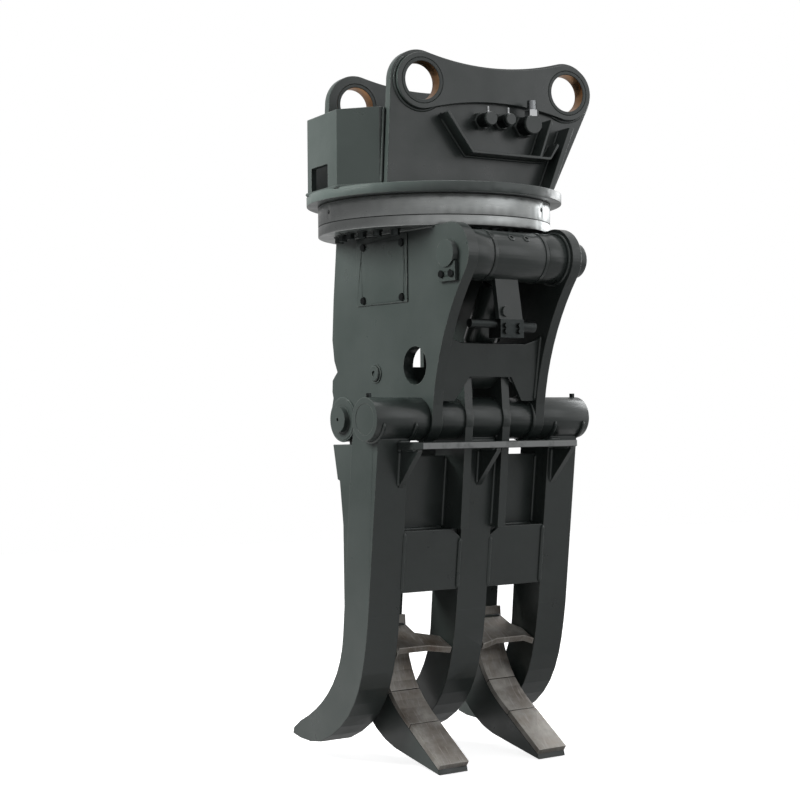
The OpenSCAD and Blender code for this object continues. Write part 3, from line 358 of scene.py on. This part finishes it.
# rounded edges on the cut plates and castings, in metres and degrees
edgeRound = {"width": 0.0016, "segments": 2, "angle": 35, "merge": 0.00002}
sharpNodes = {"bearing_balls", "slew_gear", "drive_pinion"}
for name, node in nodes.items():
    if name in sharpNodes:
        continue
    weld = node.modifiers.new("weld", "WELD")
    weld.merge_threshold = edgeRound["merge"]
    bevel = node.modifiers.new("edge", "BEVEL")
    bevel.width = edgeRound["width"]
    bevel.segments = edgeRound["segments"]
    bevel.limit_method = "ANGLE"
    bevel.angle_limit = math.radians(edgeRound["angle"])
    bevel.harden_normals = True
print("edges rounded")

# degrees, metres, and millimetres for the lens and the sensor
viewFrom = {
    "turn": 35.929, "rise": 0.633, "roll": -0.53, "distance": 3.773956, "shift": -0.078037,
    "lens": 77.45, "sensor": 36, "clip": 50,
}


def placeCamera():
    a, t, ro = (math.radians(viewFrom[k]) for k in ("turn", "rise", "roll"))
    ahead = Vector((math.sin(a), math.cos(a), 0))
    right = Vector((math.cos(a), -math.sin(a), 0))
    up = Vector((0, 0, 1))
    look = ahead * math.cos(t) + up * math.sin(t)
    top = up * math.cos(t) - ahead * math.sin(t)
    side = right * math.cos(ro) + top * math.sin(ro)
    top = top * math.cos(ro) - right * math.sin(ro)
    spot = ahead * -viewFrom["distance"] + right * viewFrom["shift"]
    side, top, look, spot = (grabTurn @ v for v in (side, top, look, spot))
    cam = bpy.data.objects.new("camera", bpy.data.cameras.new("camera"))
    bpy.context.scene.collection.objects.link(cam)
    cam.data.lens = viewFrom["lens"]
    cam.data.sensor_width = viewFrom["sensor"]
    cam.data.clip_end = viewFrom["clip"]
    rows = Matrix((side, top, -look)).transposed()
    cam.matrix_world = Matrix.Translation(spot + grabPoint(0, 0, 0)) @ rows.to_4x4()
    bpy.context.scene.camera = cam


placeCamera()


def frameOf(axis):
    axis = axis.normalized()
    side = axis.orthogonal().normalized()
    return side, axis.cross(side), axis


def ringInto(bm, centre, side, other, radii, turn=0.0):
    # one corner for each radius, in metres
    ring = []
    for i, radius in enumerate(radii):
        a = turn + 2 * math.pi * i / len(radii)
        ring.append(bm.verts.new(centre + (side * math.cos(a) + other * math.sin(a)) * radius))
    return ring


def skinInto(bm, rings):
    # a ring of one corner is the tip of a cone
    for low, high in zip(rings, rings[1:]):
        count = max(len(low), len(high))
        for i in range(count):
            j = (i + 1) % count
            if len(low) == 1:
                bm.faces.new((low[0], high[i], high[j]))
            elif len(high) == 1:
                bm.faces.new((low[i], low[j], high[0]))
            else:
                bm.faces.new((low[i], low[j], high[j], high[i]))


def latheInto(bm, at, axis, profile, segments, turn=0.0):
    # profile: (radius, distance along the axis) in millimetres, from one end to the other
    side, other, axis = frameOf(axis)
    rings = []
    for radius, along in profile:
        centre = at + axis * (along / 1000)
        if radius:
            rings.append(ringInto(bm, centre, side, other, [radius / 1000] * segments, turn))
        else:
            rings.append([bm.verts.new(centre)])
    skinInto(bm, rings)


hexHead = {"chamferShare": 0.14, "topShare": 0.93}


def hexInto(bm, at, axis, across, height):
    r = across / 2 / math.cos(math.pi / 6)
    shoulder = height - height * hexHead["chamferShare"]
    latheInto(bm, at, axis, [(r, 0), (r, shoulder), (r * hexHead["topShare"], height), (0, height)], 6)


def addPiece(name, lay, body, slot, crease, finish=None):
    # lay puts the piece's faces in an empty mesh; edges sharper than crease stay sharp
    bm = bmesh.new()
    lay(bm)
    bmesh.ops.recalc_face_normals(bm, faces=bm.faces)
    limit = math.radians(crease)
    for edge in bm.edges:
        if len(edge.link_faces) == 2 and edge.calc_face_angle(0) > limit:
            edge.smooth = False
    mesh = bpy.data.meshes.new(name)
    bm.to_mesh(mesh)
    bm.free()
    for face in mesh.polygons:
        face.use_smooth = True
    mesh.materials.append(finish or finishes[slot])
    piece = bpy.data.objects.new(name, mesh)
    bpy.context.scene.collection.objects.link(piece)
    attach(piece, body)


def resample(path, step):
    lengths = [0.0]
    for a, b in zip(path, path[1:]):
        lengths.append(lengths[-1] + (b - a).length)
    count = max(3, int(lengths[-1] / step))
    out, k = [], 0
    for i in range(count + 1):
        want = lengths[-1] * i / count
        while k < len(path) - 2 and lengths[k + 1] < want:
            k += 1
        t = (want - lengths[k]) / max(lengths[k + 1] - lengths[k], 1e-9)
        out.append(path[k].lerp(path[k + 1], t))
    return out


weldRng = random.Random(7)
bead = {
    "radius": 4.2, "step": 1.7, "sides": 7,
    "wobble": 0.12, "settle": 0.12,                          # how the width wanders and is drawn back
    "ripple": 4.6, "bow": 1.2, "trough": 0.84, "crest": 0.2,  # the crescents and their height
    "start": 0.35, "swell": 0.22,                            # the thin ends, and what each step adds to them
    "twist": 0.9,                                            # under this the ring is turned back in line
}


def layBead(bm, path, radius=bead["radius"]):
    # a run of weld: overlapping crescents with small changes of width
    points = resample(path, bead["step"] / 1000)
    last = len(points) - 1
    rings = []
    lastSide = None
    along = 0.0
    width = 1.0
    for i, p in enumerate(points):
        side, other, ahead = frameOf(points[min(i + 1, last)] - points[max(i - 1, 0)])
        if lastSide is not None and side.dot(lastSide) < bead["twist"]:
            side = (lastSide - ahead * lastSide.dot(ahead)).normalized()
            other = ahead.cross(side)
        lastSide = side
        along += bead["step"]
        width += (weldRng.uniform(-1, 1) * bead["wobble"] - (width - 1)) * bead["settle"]
        end = min(1.0, bead["start"] + bead["swell"] * min(i, last - i))
        radii = []
        for k in range(bead["sides"]):
            a = 2 * math.pi * k / bead["sides"]
            phase = (along + bead["bow"] * math.cos(a * 2)) / bead["ripple"]
            height = bead["trough"] + bead["crest"] * abs(math.sin(math.pi * phase))
            radii.append(radius / 1000 * width * end * height)
        rings.append(ringInto(bm, p, side, other, radii))
    skinInto(bm, rings)
    bm.faces.new(rings[0][::-1])
    bm.faces.new(rings[-1])


arcStep = 6  # degrees between the points of a curved run


def circlePath(centre, axis, radius, start=0, end=360, towards=None):
    # degrees, counted from the direction towards where that is given
    side, other, axis = frameOf(axis)
    if towards is not None:
        side = (towards - axis * towards.dot(axis)).normalized()
        other = axis.cross(side)
    steps = round((end - start) / arcStep)
    angles = [math.radians(start + (end - start) * i / steps) for i in range(steps + 1)]
    return [centre + (side * math.cos(a) + other * math.sin(a)) * (radius / 1000) for a in angles]


# where the beads lie on the hanger; turns are degrees round a lug, and sides are a plate's two faces
hangerSeam = {
    "level": -217, "foot": (-77, 319), "footFaces": (164.5, 141.5),
    "lug": 61, "stickTurn": (128, 306), "linkTurn": (-124, 34), "linkX": 354, "doublerBead": 3.6,
    "doublerLow": (36, 318), "doublerLevel": -49, "doublerRise": 17, "doublerSteps": 40,
    "ribFace": 165, "ribEdge": ((348.7, -82), (295.8, -217)), "ribSides": (0.8, -12.8), "thinBead": 3,
    "housingFace": 143.5, "housingEdge": ((-82, -216), (-75, -57)), "housingBead": 3.4,
    "housingFoot": ((-86, -143), (-152.5, -75), (-152.5, 75), (-86, 143)),
    "webX": (282, 300), "webY": 138,
}
# the port guard and its arm, in shares of the pins' distance and of the ear's height
guardSeam = {
    "wide": 354, "tall": 218, "face": -165, "sides": (-1.5, 7.5),
    "guardShares": ((0.134, -0.293), (0.294, -0.655), (0.825, -0.672), (0.876, -0.533)),
    "armShares": ((0.748, -0.66), (0.832, -0.302)),
}


def lugArc(x, y, radius, turn):
    angles = [math.radians(v) for v in range(*turn, arcStep)]
    return [rowPoint(x + radius * math.cos(a), y, radius * math.sin(a)) for a in angles]


def doublerRun(face):
    # round the stick pin's lug, along the bowed lower edge and round the link pin's lug
    seam = hangerSeam
    start, end = seam["doublerLow"]
    low = []
    for i in range(seam["doublerSteps"] + 1):
        t = i / seam["doublerSteps"]
        rise = seam["doublerRise"] * (1 - (2 * t - 1) ** 2)
        low.append(rowPoint(start + (end - start) * t, face, seam["doublerLevel"] + rise))
    return (lugArc(0, face, seam["lug"], seam["stickTurn"]) + low
            + lugArc(seam["linkX"], face, seam["lug"], seam["linkTurn"]))


def hangerWelds(bm):
    seam = hangerSeam
    level = seam["level"]
    for s in (-1, 1):
        for y in seam["footFaces"]:
            layBead(bm, [rowPoint(x, s * y, level) for x in seam["foot"]])
        layBead(bm, doublerRun(s * seam["footFaces"][0]), seam["doublerBead"])
        for dx in seam["ribSides"]:
            layBead(bm, [rowPoint(x + dx, s * seam["ribFace"], z) for x, z in seam["ribEdge"]],
                    seam["thinBead"])
        layBead(bm, [rowPoint(x, s * seam["housingFace"], z) for x, z in seam["housingEdge"]],
                seam["housingBead"])
    layBead(bm, [rowPoint(x, y, level) for x, y in seam["housingFoot"]])
    guard = guardSeam
    for low in guard["sides"]:
        layBead(bm, [rowPoint(x * guard["wide"], guard["face"], z * guard["tall"] - low)
                     for x, z in guard["guardShares"]], seam["thinBead"])
    for dx in guard["sides"]:
        layBead(bm, [rowPoint(x * guard["wide"] + dx, guard["face"], z * guard["tall"])
                     for x, z in guard["armShares"]], seam["thinBead"])
    for x in seam["webX"]:
        layBead(bm, [rowPoint(x, y, level) for y in (-seam["webY"], seam["webY"])])


# the grab's frame: side plates, cross plates and the rings round the bosses
frameSeam = {
    "outFace": 151.5, "inFace": 125.5, "top": 396, "topRun": (-200, 156),
    "frontRun": (38, 175), "frontY": -179, "frontLean": 0.169,
    "backX": 125, "backY": 157.5, "backRun": (62, 390), "crossX": 122, "crossLevels": (59, 396),
    "topPinRing": 53.5, "frontRing": 46.5, "rearRing": 47.5, "rearBead": 2.6,
}


def frameWelds(bm):
    seam = frameSeam
    hinge, across = grab["hingeY"], grabWay(1, 0, 0)
    for s in (-1, 1):
        inner, outer = s * seam["inFace"], s * seam["outFace"]
        for x in (outer, inner):
            layBead(bm, [grabPoint(x, y, seam["top"]) for y in seam["topRun"]])
        layBead(bm, [grabPoint(inner, seam["frontY"] - seam["frontLean"] * z, z) for z in seam["frontRun"]])
        layBead(bm, [grabPoint(s * seam["backX"], seam["backY"], z) for z in seam["backRun"]])
        layBead(bm, circlePath(grabPoint(inner, *grab["topPin"]), across, seam["topPinRing"]))
        layBead(bm, circlePath(grabPoint(inner, -hinge, 0), across, seam["frontRing"]))
        layBead(bm, circlePath(grabPoint(outer, hinge, 0), across, seam["rearRing"]), seam["rearBead"])
    for z in seam["crossLevels"]:
        layBead(bm, [grabPoint(x, seam["backY"], z) for x in (-seam["crossX"], seam["crossX"])])


# the straight faces of the front tines: two points each, as drop and reach from the hinge
tineFace = {"front": ((8.6, -25.9), (406, 18.7)), "inner": ((59.8, 74.9), (450, 112.3))}


def faceY(side, z):
    (dropA, reachA), (dropB, reachB) = tineFace[side]
    return -grab["hingeY"] + (reachA + (reachB - reachA) * (-z - dropA) / (dropB - dropA))


# runs are heights from top to bottom, and over is how far a bead's middle stands off its face
jawSeam = {
    "tubeEnds": (-268.5, -187.5, 187.5, 268.5), "tubeRing": 46.2, "tubeTurn": (-80, 70),
    "earX": 39, "earRuns": ((-24, -45), (-66, -228)), "over": 1,
    "beamTops": ((41, -252), (187, -234)), "beamLow": -359, "beamOver": 1.5, "frontBead": 5,
    "beamInnerTop": -236, "beamEnds": (-234, -361), "endInner": 12, "endFront": 22,
    "panelX": (61, 187), "panelIn": 41, "panelRun": (-79, -231), "panelFootX": (62, 186), "panelFoot": -232,
    "stepEdges": (-47, -63), "stepOutX": (189, 218), "stepMidX": (-37, 37),
    "gussetX": (-205.2, 0, 205.2), "gussetSides": (-7, 7), "gussetOver": 0.5, "gussetRun": (-65, -138),
    "gussetTop": -63, "gussetTopY": (-164, -214), "gussetBead": 4.5, "gussetTopBead": 4,
}


def beamWelds(bm, s):
    # the box beams between the tines
    seam = jawSeam
    for x, top in seam["beamTops"]:
        layBead(bm, [grabPoint(s * x, faceY("front", z) + seam["beamOver"], z)
                     for z in (top, seam["beamLow"])], seam["frontBead"])
        layBead(bm, [grabPoint(s * x, faceY("inner", z) - seam["beamOver"], z)
                     for z in (seam["beamInnerTop"], seam["beamLow"])])
        for z in seam["beamEnds"]:
            layBead(bm, [grabPoint(s * x, faceY("inner", z) - seam["endInner"], z),
                         grabPoint(s * x, faceY("front", z) + seam["endFront"], z)])


def panelWelds(bm, s):
    # the web panels over the beams
    seam = jawSeam
    low = seam["panelRun"][1]
    for x in seam["panelX"]:
        layBead(bm, [grabPoint(s * x, faceY("front", z) + seam["panelIn"], z) for z in seam["panelRun"]])
    foot = faceY("front", seam["panelFoot"]) + seam["panelIn"]
    layBead(bm, [grabPoint(s * x, foot, low) for x in seam["panelFootX"]])


def gussetWelds(bm):
    seam = jawSeam
    for middle in seam["gussetX"]:
        for side in seam["gussetSides"]:
            x = middle + side
            layBead(bm, [grabPoint(x, faceY("front", z) - seam["gussetOver"], z) for z in seam["gussetRun"]],
                    seam["gussetBead"])
            layBead(bm, [grabPoint(x, y, seam["gussetTop"]) for y in seam["gussetTopY"]],
                    seam["gussetTopBead"])


def frontJawWelds(bm):
    seam = jawSeam
    across, down = grabWay(1, 0, 0), grabWay(0, 0, -1)
    for x in seam["tubeEnds"]:
        at = grabPoint(x, -grab["hingeY"], 0)
        layBead(bm, circlePath(at, across, seam["tubeRing"], *seam["tubeTurn"], down))
    for s in (-1, 1):
        for run in seam["earRuns"]:
            layBead(bm, [grabPoint(s * seam["earX"], faceY("front", z) - seam["over"], z) for z in run])
        beamWelds(bm, s)
        panelWelds(bm, s)
        for z in seam["stepEdges"]:
            layBead(bm, [grabPoint(s * x, faceY("front", z) - seam["over"], z) for x in seam["stepOutX"]])
    for z in seam["stepEdges"]:
        layBead(bm, [grabPoint(x, faceY("front", z) - seam["over"], z) for x in seam["stepMidX"]])
    gussetWelds(bm)


# depths are counted from the hinge towards the front
rearSeam = {
    "x": 94, "tubeRing": 46.2, "boxEnds": (-54, -298), "boxSides": ((20, 42), (60, 82)),
    "boxCaps": ((40, -52), (62, -300)), "capHalf": 18,
    "catchEdges": ((-12, -440.5), (-13.5, -457.5)), "catchX": (98, 166), "catchBead": 3.5,
}


def rearJawWelds(bm):
    seam = rearSeam
    hinge = grab["hingeY"]
    for s in (-1, 1):
        x = s * seam["x"]
        layBead(bm, circlePath(grabPoint(x, hinge, 0), grabWay(1, 0, 0), seam["tubeRing"]))
        for depths in seam["boxSides"]:
            layBead(bm, [grabPoint(x, hinge - depth, z) for depth, z in zip(depths, seam["boxEnds"])])
        for depth, z in seam["boxCaps"]:
            layBead(bm, [grabPoint(x, hinge - depth + half, z)
                         for half in (seam["capHalf"], -seam["capHalf"])])
        for y, z in seam["catchEdges"]:
            layBead(bm, [grabPoint(s * out, y, z) for out in seam["catchX"]], seam["catchBead"])


weldCrease = 80
# the weld paint is lighter than the plates' paint as painted highlight on the beads
weldPaintAndHighlight = makePaint("weldPaintAndHighlight")
weldRuns = {
    "hangerWelds": (hangerWelds, "hanger"),
    "frameWelds": (frameWelds, "frame"),
    "frontJawWelds": (frontJawWelds, "front_jaw"),
    "rearJawWelds": (rearJawWelds, "rear_jaw"),
}
for name, (lay, body) in weldRuns.items():
    addPiece(name, lay, body, "body_paint", weldCrease, weldPaintAndHighlight)
print("weld runs laid:", len(weldRuns))

ports = {
    # x, z, the stub's radius and the cap's radius
    "places": ((141.6, -75.2, 15, 14), (189.4, -74.1, 14, 12), (244.3, -80.7, 20, 20)),
    "ear": -164, "nut": 14, "nutOver": 4.5, "nutTurn": 0.3,
    "capFrom": -207, "capDeep": 9, "capOver": 0.5, "groove": 1.6, "sides": 40,
}


def portCaps(bm):
    outward = Vector((0, -1, 0))
    deep, groove, tall = (ports[k] for k in ("capDeep", "groove", "nut"))
    for x, z, stub, cap in ports["places"]:
        r = cap + ports["capOver"]
        latheInto(bm, rowPoint(x, ports["capFrom"], z), outward,
                  [(0, 0), (r - groove, 0), (r, groove), (r, deep - groove), (r - groove, deep), (0, deep)],
                  ports["sides"])
        r = stub + ports["nutOver"]
        latheInto(bm, rowPoint(x, ports["ear"], z), outward,
                  [(0, 0), (r, 0), (r, tall - groove), (r - groove, tall), (0, tall)], 6, ports["nutTurn"])


threads = {
    # x, y and z of the foot, the radius and the height
    "places": ((141.6, -200, -61, 3.2, 13), (189.4, -202, -61, 3.2, 13), (246, -204, -61, 11, 33)),
    "pitch": 2.2, "plainShare": 0.38, "neckShares": (0.4, 0.5), "sides": 28,
    "neck": 0.8, "ridge": 0.93, "root": 0.79, "tip": 0.6,       # shares of the radius
    "nut": (246, -204, -64), "nutAcross": 27, "nutTall": 14,
}


def threadedFittings(bm):
    # short threaded ends that stand on the stubs, the large one over a hexagon
    up, pitch = Vector((0, 0, 1)), threads["pitch"]
    for x, y, z, r, tall in threads["places"]:
        neck, ridge, root, tip = (r * threads[k] for k in ("neck", "ridge", "root", "tip"))
        start = tall * threads["plainShare"]
        shoulder, under = (start * share for share in threads["neckShares"])
        rows = [(0, 0), (r, 0), (r, shoulder), (neck, under), (neck, start)]
        for i in range(int((tall - start) / pitch)):
            at = start + i * pitch
            rows += [(ridge, at + pitch / 4), (root, at + pitch * 3 / 4)]
        rows += [(tip, tall), (0, tall)]
        latheInto(bm, rowPoint(x, y, z), up, rows, threads["sides"])
    hexInto(bm, rowPoint(*threads["nut"]), up, threads["nutAcross"], threads["nutTall"])


discBolts = {
    "node": "race_bolts", "circle": 244.5, "count": 24, "turn": 0, "level": -218, "near": 20,
    "head": 9.2, "proud": 3.4, "socket": 4.8, "sunk": 0.5, "sides": 24,
    "round": 0.3, "socketEnd": 0.96, "socketSide": 0.3, "socketFloor": 0.2,  # shares of proud and of socket
}
flangeBolts = {
    "node": "flange_bolts", "circle": 208.1, "count": 30, "turn": grab["turn"], "level": -306, "near": 20,
    "washer": 11.8, "thick": 2.2, "round": 0.3, "sides": 28,
    "headDrop": 11.5, "headAcross": 15.8, "headTall": 2.2,
}


def boltPlaces(bolts):
    # the places on the bolt circle at which the node has a bolt
    node = nodes[bolts["node"]]
    spots = [node.matrix_world @ v.co for v in node.data.vertices]
    found = []
    for i in range(bolts["count"]):
        a = math.radians((i + 0.5) * 360 / bolts["count"]) + math.radians(bolts["turn"])
        place = rowPoint(grab["axisX"] + bolts["circle"] * math.cos(a), bolts["circle"] * math.sin(a),
                         bolts["level"])
        if any((v - place).length < bolts["near"] / 1000 for v in spots):
            found.append(place)
    return found


def discBoltCaps(bm):
    r, h, key, rounded = (discBolts[k] for k in ("head", "proud", "socket", "round"))
    for place in boltPlaces(discBolts):
        latheInto(bm, place - rowPoint(0, 0, discBolts["sunk"]), Vector((0, 0, 1)),
                  [(r, 0), (r, h * (1 - rounded)), (r - h * rounded, h), (key, h),
                   (key * discBolts["socketEnd"], h * discBolts["socketSide"]),
                   (0, h * discBolts["socketFloor"])], discBolts["sides"])


def flangeWashers(bm):
    r, t, rounded = (flangeBolts[k] for k in ("washer", "thick", "round"))
    down = Vector((0, 0, -1))
    for place in boltPlaces(flangeBolts):
        latheInto(bm, place, down, [(0, 0), (r, 0), (r, t * (1 - rounded)), (r - t * rounded, t), (0, t)],
                  flangeBolts["sides"])
        hexInto(bm, place - rowPoint(0, 0, flangeBolts["headDrop"]), down,
                flangeBolts["headAcross"], flangeBolts["headTall"])


sidePlug = {
    "x": 151, "y": 12, "z": 98, "rim": 21, "body": 17, "proud": 6.5, "well": 2.5, "sides": 48,
    "wellShares": (0.8, 0.4),
    "sunk": 0.4, "rimRound": 1.5, "gap": 1, "bodyRound": 1.6, "hole": (6, 5), "holeDeep": 3,
}


def sidePlugs(bm):
    # a turned cap in the side plate, with a sunk ring round its middle
    rim, body, proud, well, soft = (sidePlug[k] for k in ("rim", "body", "proud", "well", "bodyRound"))
    holeTop, holeLow = sidePlug["hole"]
    holeFloor = proud - sidePlug["holeDeep"]
    rimTop, ringFloor = (well * share for share in sidePlug["wellShares"])
    rows = [(rim, -sidePlug["sunk"]), (rim, rimTop), (rim - sidePlug["rimRound"], well),
            (body + sidePlug["gap"], well), (body, ringFloor), (body, proud - soft), (body - soft, proud),
            (holeTop, proud), (holeLow, holeFloor), (0, holeFloor)]
    for s in (-1, 1):
        at = grabPoint(s * sidePlug["x"], sidePlug["y"], sidePlug["z"])
        latheInto(bm, at, grabWay(s, 0, 0), rows, sidePlug["sides"])


topEye = {
    "boss": 52, "sunk": 1, "bandX": (-73, 63), "bandWide": 10, "bandProud": 1.2, "bandLip": 0.4,
    "bandSides": 64, "plugX": (-20, 20), "plugRise": 42,
    "plug": ((8.5, 0), (8.5, 1.8), (7.2, 2.8), (4.2, 2.8), (3.8, 0.6), (0, 0.4)),
}


def topEyeFittings(bm):
    # the bands and plugs on the rod's eye
    foot = topEye["boss"] - topEye["sunk"]
    proud, lip = topEye["bandProud"], topEye["bandLip"]
    top, wide = topEye["boss"] + proud, topEye["bandWide"]
    for x in topEye["bandX"]:
        latheInto(bm, grabPoint(x, *grab["topPin"]), grabWay(1, 0, 0),
                  [(foot, lip), (top, proud), (top, wide - proud), (foot, wide - lip)], topEye["bandSides"])
    rise = math.radians(topEye["plugRise"])
    out = grabWay(0, -math.cos(rise), math.sin(rise))
    for x in topEye["plugX"]:
        latheInto(bm, grabPoint(x, *grab["topPin"]) + out * (foot / 1000), out, topEye["plug"], 6)


trimCrease = 25
smallTrim = {
    "portCaps": (portCaps, "hanger", "body_paint"),
    "threadedFittings": (threadedFittings, "hanger", "rod_chrome"),
    "discBoltCaps": (discBoltCaps, "hanger", "race_steel"),
    "flangeWashers": (flangeWashers, "frame", "dark_steel"),
    "sidePlugs": (sidePlugs, "frame", "body_paint"),
    "topEyeFittings": (topEyeFittings, "rod", "body_paint"),
}
for name, (lay, body, slot) in smallTrim.items():
    addPiece(name, lay, body, slot, trimCrease)

sealAndGapLips = {
    # radius, top and bottom of each lip; the upper lip is the race's seal, the lower one is a black ring set
    # in the see-through gap under the race as painted shade
    "lips": ((254.4, -239.2, -241.6), (252.6, -282.6, -286.8)), "deep": 5, "round": 0.3, "sides": 160,
    "crease": 40, "sealAndGapBlack": (0.006, 0.0065, 0.0065), "plainRoughness": 0.6,
    "grain": (300.0, 3), "sheenShare": (0.3, 0.7, 0.5, 0.75), "bump": (0.15, 0.0003),
}


# black for the seal, and the same black used as painted shade in the lower gap
def makeSealAndGapBlack(name):
    mat, tree, shader, at = startMaterial(name, sealAndGapLips["sealAndGapBlack"], 0.0, sealAndGapLips["plainRoughness"])
    grain = addNoise(tree, at, *sealAndGapLips["grain"])
    tree.links.new(mapRange(tree, grain, *sealAndGapLips["sheenShare"]), shader.inputs["Roughness"])
    addBump(tree, shader, (grain, *sealAndGapLips["bump"]))
    return mat


def laySealAndShadedGap(bm):
    # the black lips over and under the outer race: the upper one a real seal, the lower one painted shade
    # that fills the dark gap
    soft = sealAndGapLips["round"]
    for r, top, low in sealAndGapLips["lips"]:
        back, down = r - sealAndGapLips["deep"], low - top
        rows = [(back, 0), (r - soft, 0), (r, down * soft), (r, down * (1 - soft)), (r - soft, down),
                (back, down), (back, 0)]
        latheInto(bm, rowPoint(grab["axisX"], 0, top), Vector((0, 0, 1)), rows, sealAndGapLips["sides"])


addPiece("laySealAndShadedGap", laySealAndShadedGap, "hanger", "dark_steel", sealAndGapLips["crease"], makeSealAndGapBlack("sealRubberAndGapShade"))
print("small trim set:", len(smallTrim) + 1)


def seenDirectly(tree, mirrored):
    # 1 for rays from the camera and for clear rays, and a share of that for mirror-like ones
    path = tree.nodes.new("ShaderNodeLightPath").outputs
    clear = addMath(tree, "MAXIMUM", path["Is Camera Ray"], path["Is Transmission Ray"])
    return addMath(tree, "MAXIMUM", clear, addMath(tree, "MULTIPLY", path["Is Glossy Ray"], mirrored))


def mixShader(tree, factor, plain, seen):
    node = tree.nodes.new("ShaderNodeMixShader")
    feed(tree, node, (factor, plain, seen))
    return node.outputs["Shader"]


floorLook = {
    "half": 6.0, "gap": 0.0015, "color": (0.82, 0.82, 0.82), "roughness": 0.6,
    "cloud": (1.5, 3), "cloudStops": (0.2, 0.8), "cloudColors": ((0.8, 0.8, 0.8), (0.84, 0.84, 0.84)),
    "glow": 0.85, "bounce": (0.12, 0.12, 0.12), "mirrored": 0.3,
}


def layFloor():
    half = floorLook["half"]
    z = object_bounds()[0][2] - floorLook["gap"]
    mesh = bpy.data.meshes.new("studioFloor")
    corners = [(-half, -half, z), (half, -half, z), (half, half, z), (-half, half, z)]
    mesh.from_pydata(corners, [], [(0, 1, 2, 3)])
    floor = bpy.data.objects.new("studioFloor", mesh)
    bpy.context.scene.collection.objects.link(floor)
    mat, tree, shader, at = startMaterial("paleFloor", floorLook["color"], 0.0, floorLook["roughness"])
    cloud = addNoise(tree, at, *floorLook["cloud"])
    pale = addRamp(tree, cloud, floorLook["cloudStops"], floorLook["cloudColors"])
    tree.links.new(pale, shader.inputs["Base Color"])
    mesh.materials.append(mat)
    glow = tree.nodes.new("ShaderNodeEmission")      # lifts the seen floor to white and leaves the shadow
    glow.inputs["Strength"].default_value = floorLook["glow"]
    both = tree.nodes.new("ShaderNodeAddShader")
    feed(tree, both, (shader.outputs["BSDF"], glow.outputs["Emission"]))
    unlit = tree.nodes.new("ShaderNodeBsdfDiffuse")  # what the object's undersides see of the floor
    unlit.inputs["Color"].default_value = (*floorLook["bounce"], 1)
    seen = seenDirectly(tree, floorLook["mirrored"])
    surface = mixShader(tree, seen, unlit.outputs["BSDF"], both.outputs["Shader"])
    tree.links.new(surface, tree.nodes["Material Output"].inputs["Surface"])
    return floor


floor = layFloor()

studio = {
    "ambient": 0.25, "ambientColor": (0.93, 0.95, 0.96),
    "brightSide": (0.81, -0.587, 0.0), "lean": (-0.9, 0.7), "mirrored": (0.25, 0.9),
}


def lightBackdrop():
    world = bpy.data.worlds.new("studio")
    bpy.context.scene.world = world
    world.use_nodes = True
    tree = world.node_tree
    ambient = tree.nodes["Background"]
    ambient.inputs["Color"].default_value = (*studio["ambientColor"], 1)
    ambient.inputs["Strength"].default_value = studio["ambient"]
    # the camera sees plain white, and mirror-like surfaces see it brighter on the right
    ways = tree.nodes.new("ShaderNodeTexCoord")
    lean = addDot(tree, ways.outputs["Generated"], studio["brightSide"])
    shade = mapRange(tree, lean, *studio["lean"], *studio["mirrored"])
    path = tree.nodes.new("ShaderNodeLightPath")
    backdrop = tree.nodes.new("ShaderNodeBackground")
    backdrop.inputs["Color"].default_value = (1, 1, 1, 1)
    strength = addMath(tree, "MAXIMUM", path.outputs["Is Camera Ray"], shade)
    tree.links.new(strength, backdrop.inputs["Strength"])
    surface = mixShader(tree, seenDirectly(tree, 1.0), ambient.outputs["Background"],
                        backdrop.outputs["Background"])
    tree.links.new(surface, tree.nodes["World Output"].inputs["Surface"])


lightBackdrop()

lampAim = rowPoint(grab["axisX"], 0, -600)
lamps = {
    "keyLeft": {
        "at": (-1.7, 0.6, 0.5), "size": 1.2, "power": 92, "color": (1, 0.99, 0.97), "mirrored": False,
    },
    "frontRight": {
        "at": (2.3, -2.9, 0.7), "size": 2.2, "power": 8, "color": (0.96, 0.98, 1), "mirrored": True,
    },
    "topSoft": {
        "at": (0.3, -0.2, 2.4), "size": 2.2, "power": 22, "color": (1, 1, 1), "mirrored": True,
    },
    "rimRight": {
        "at": (3.0, 0.9, 0.4), "size": 1.8, "power": 26, "color": (0.97, 0.99, 1), "mirrored": True,
    },
}
for name, cfg in lamps.items():
    light = bpy.data.lights.new(name, "AREA")
    light.shape = "DISK"
    light.size = cfg["size"]
    light.energy = cfg["power"]
    light.color = cfg["color"]
    lamp = bpy.data.objects.new(name, light)
    lamp.visible_glossy = cfg["mirrored"]
    bpy.context.scene.collection.objects.link(lamp)
    lamp.location = cfg["at"]
    lamp.rotation_euler = (lampAim - Vector(cfg["at"])).to_track_quat("-Z", "Y").to_euler()
bpy.context.scene.view_settings.view_transform = "Standard"
print("floor, light and camera set")
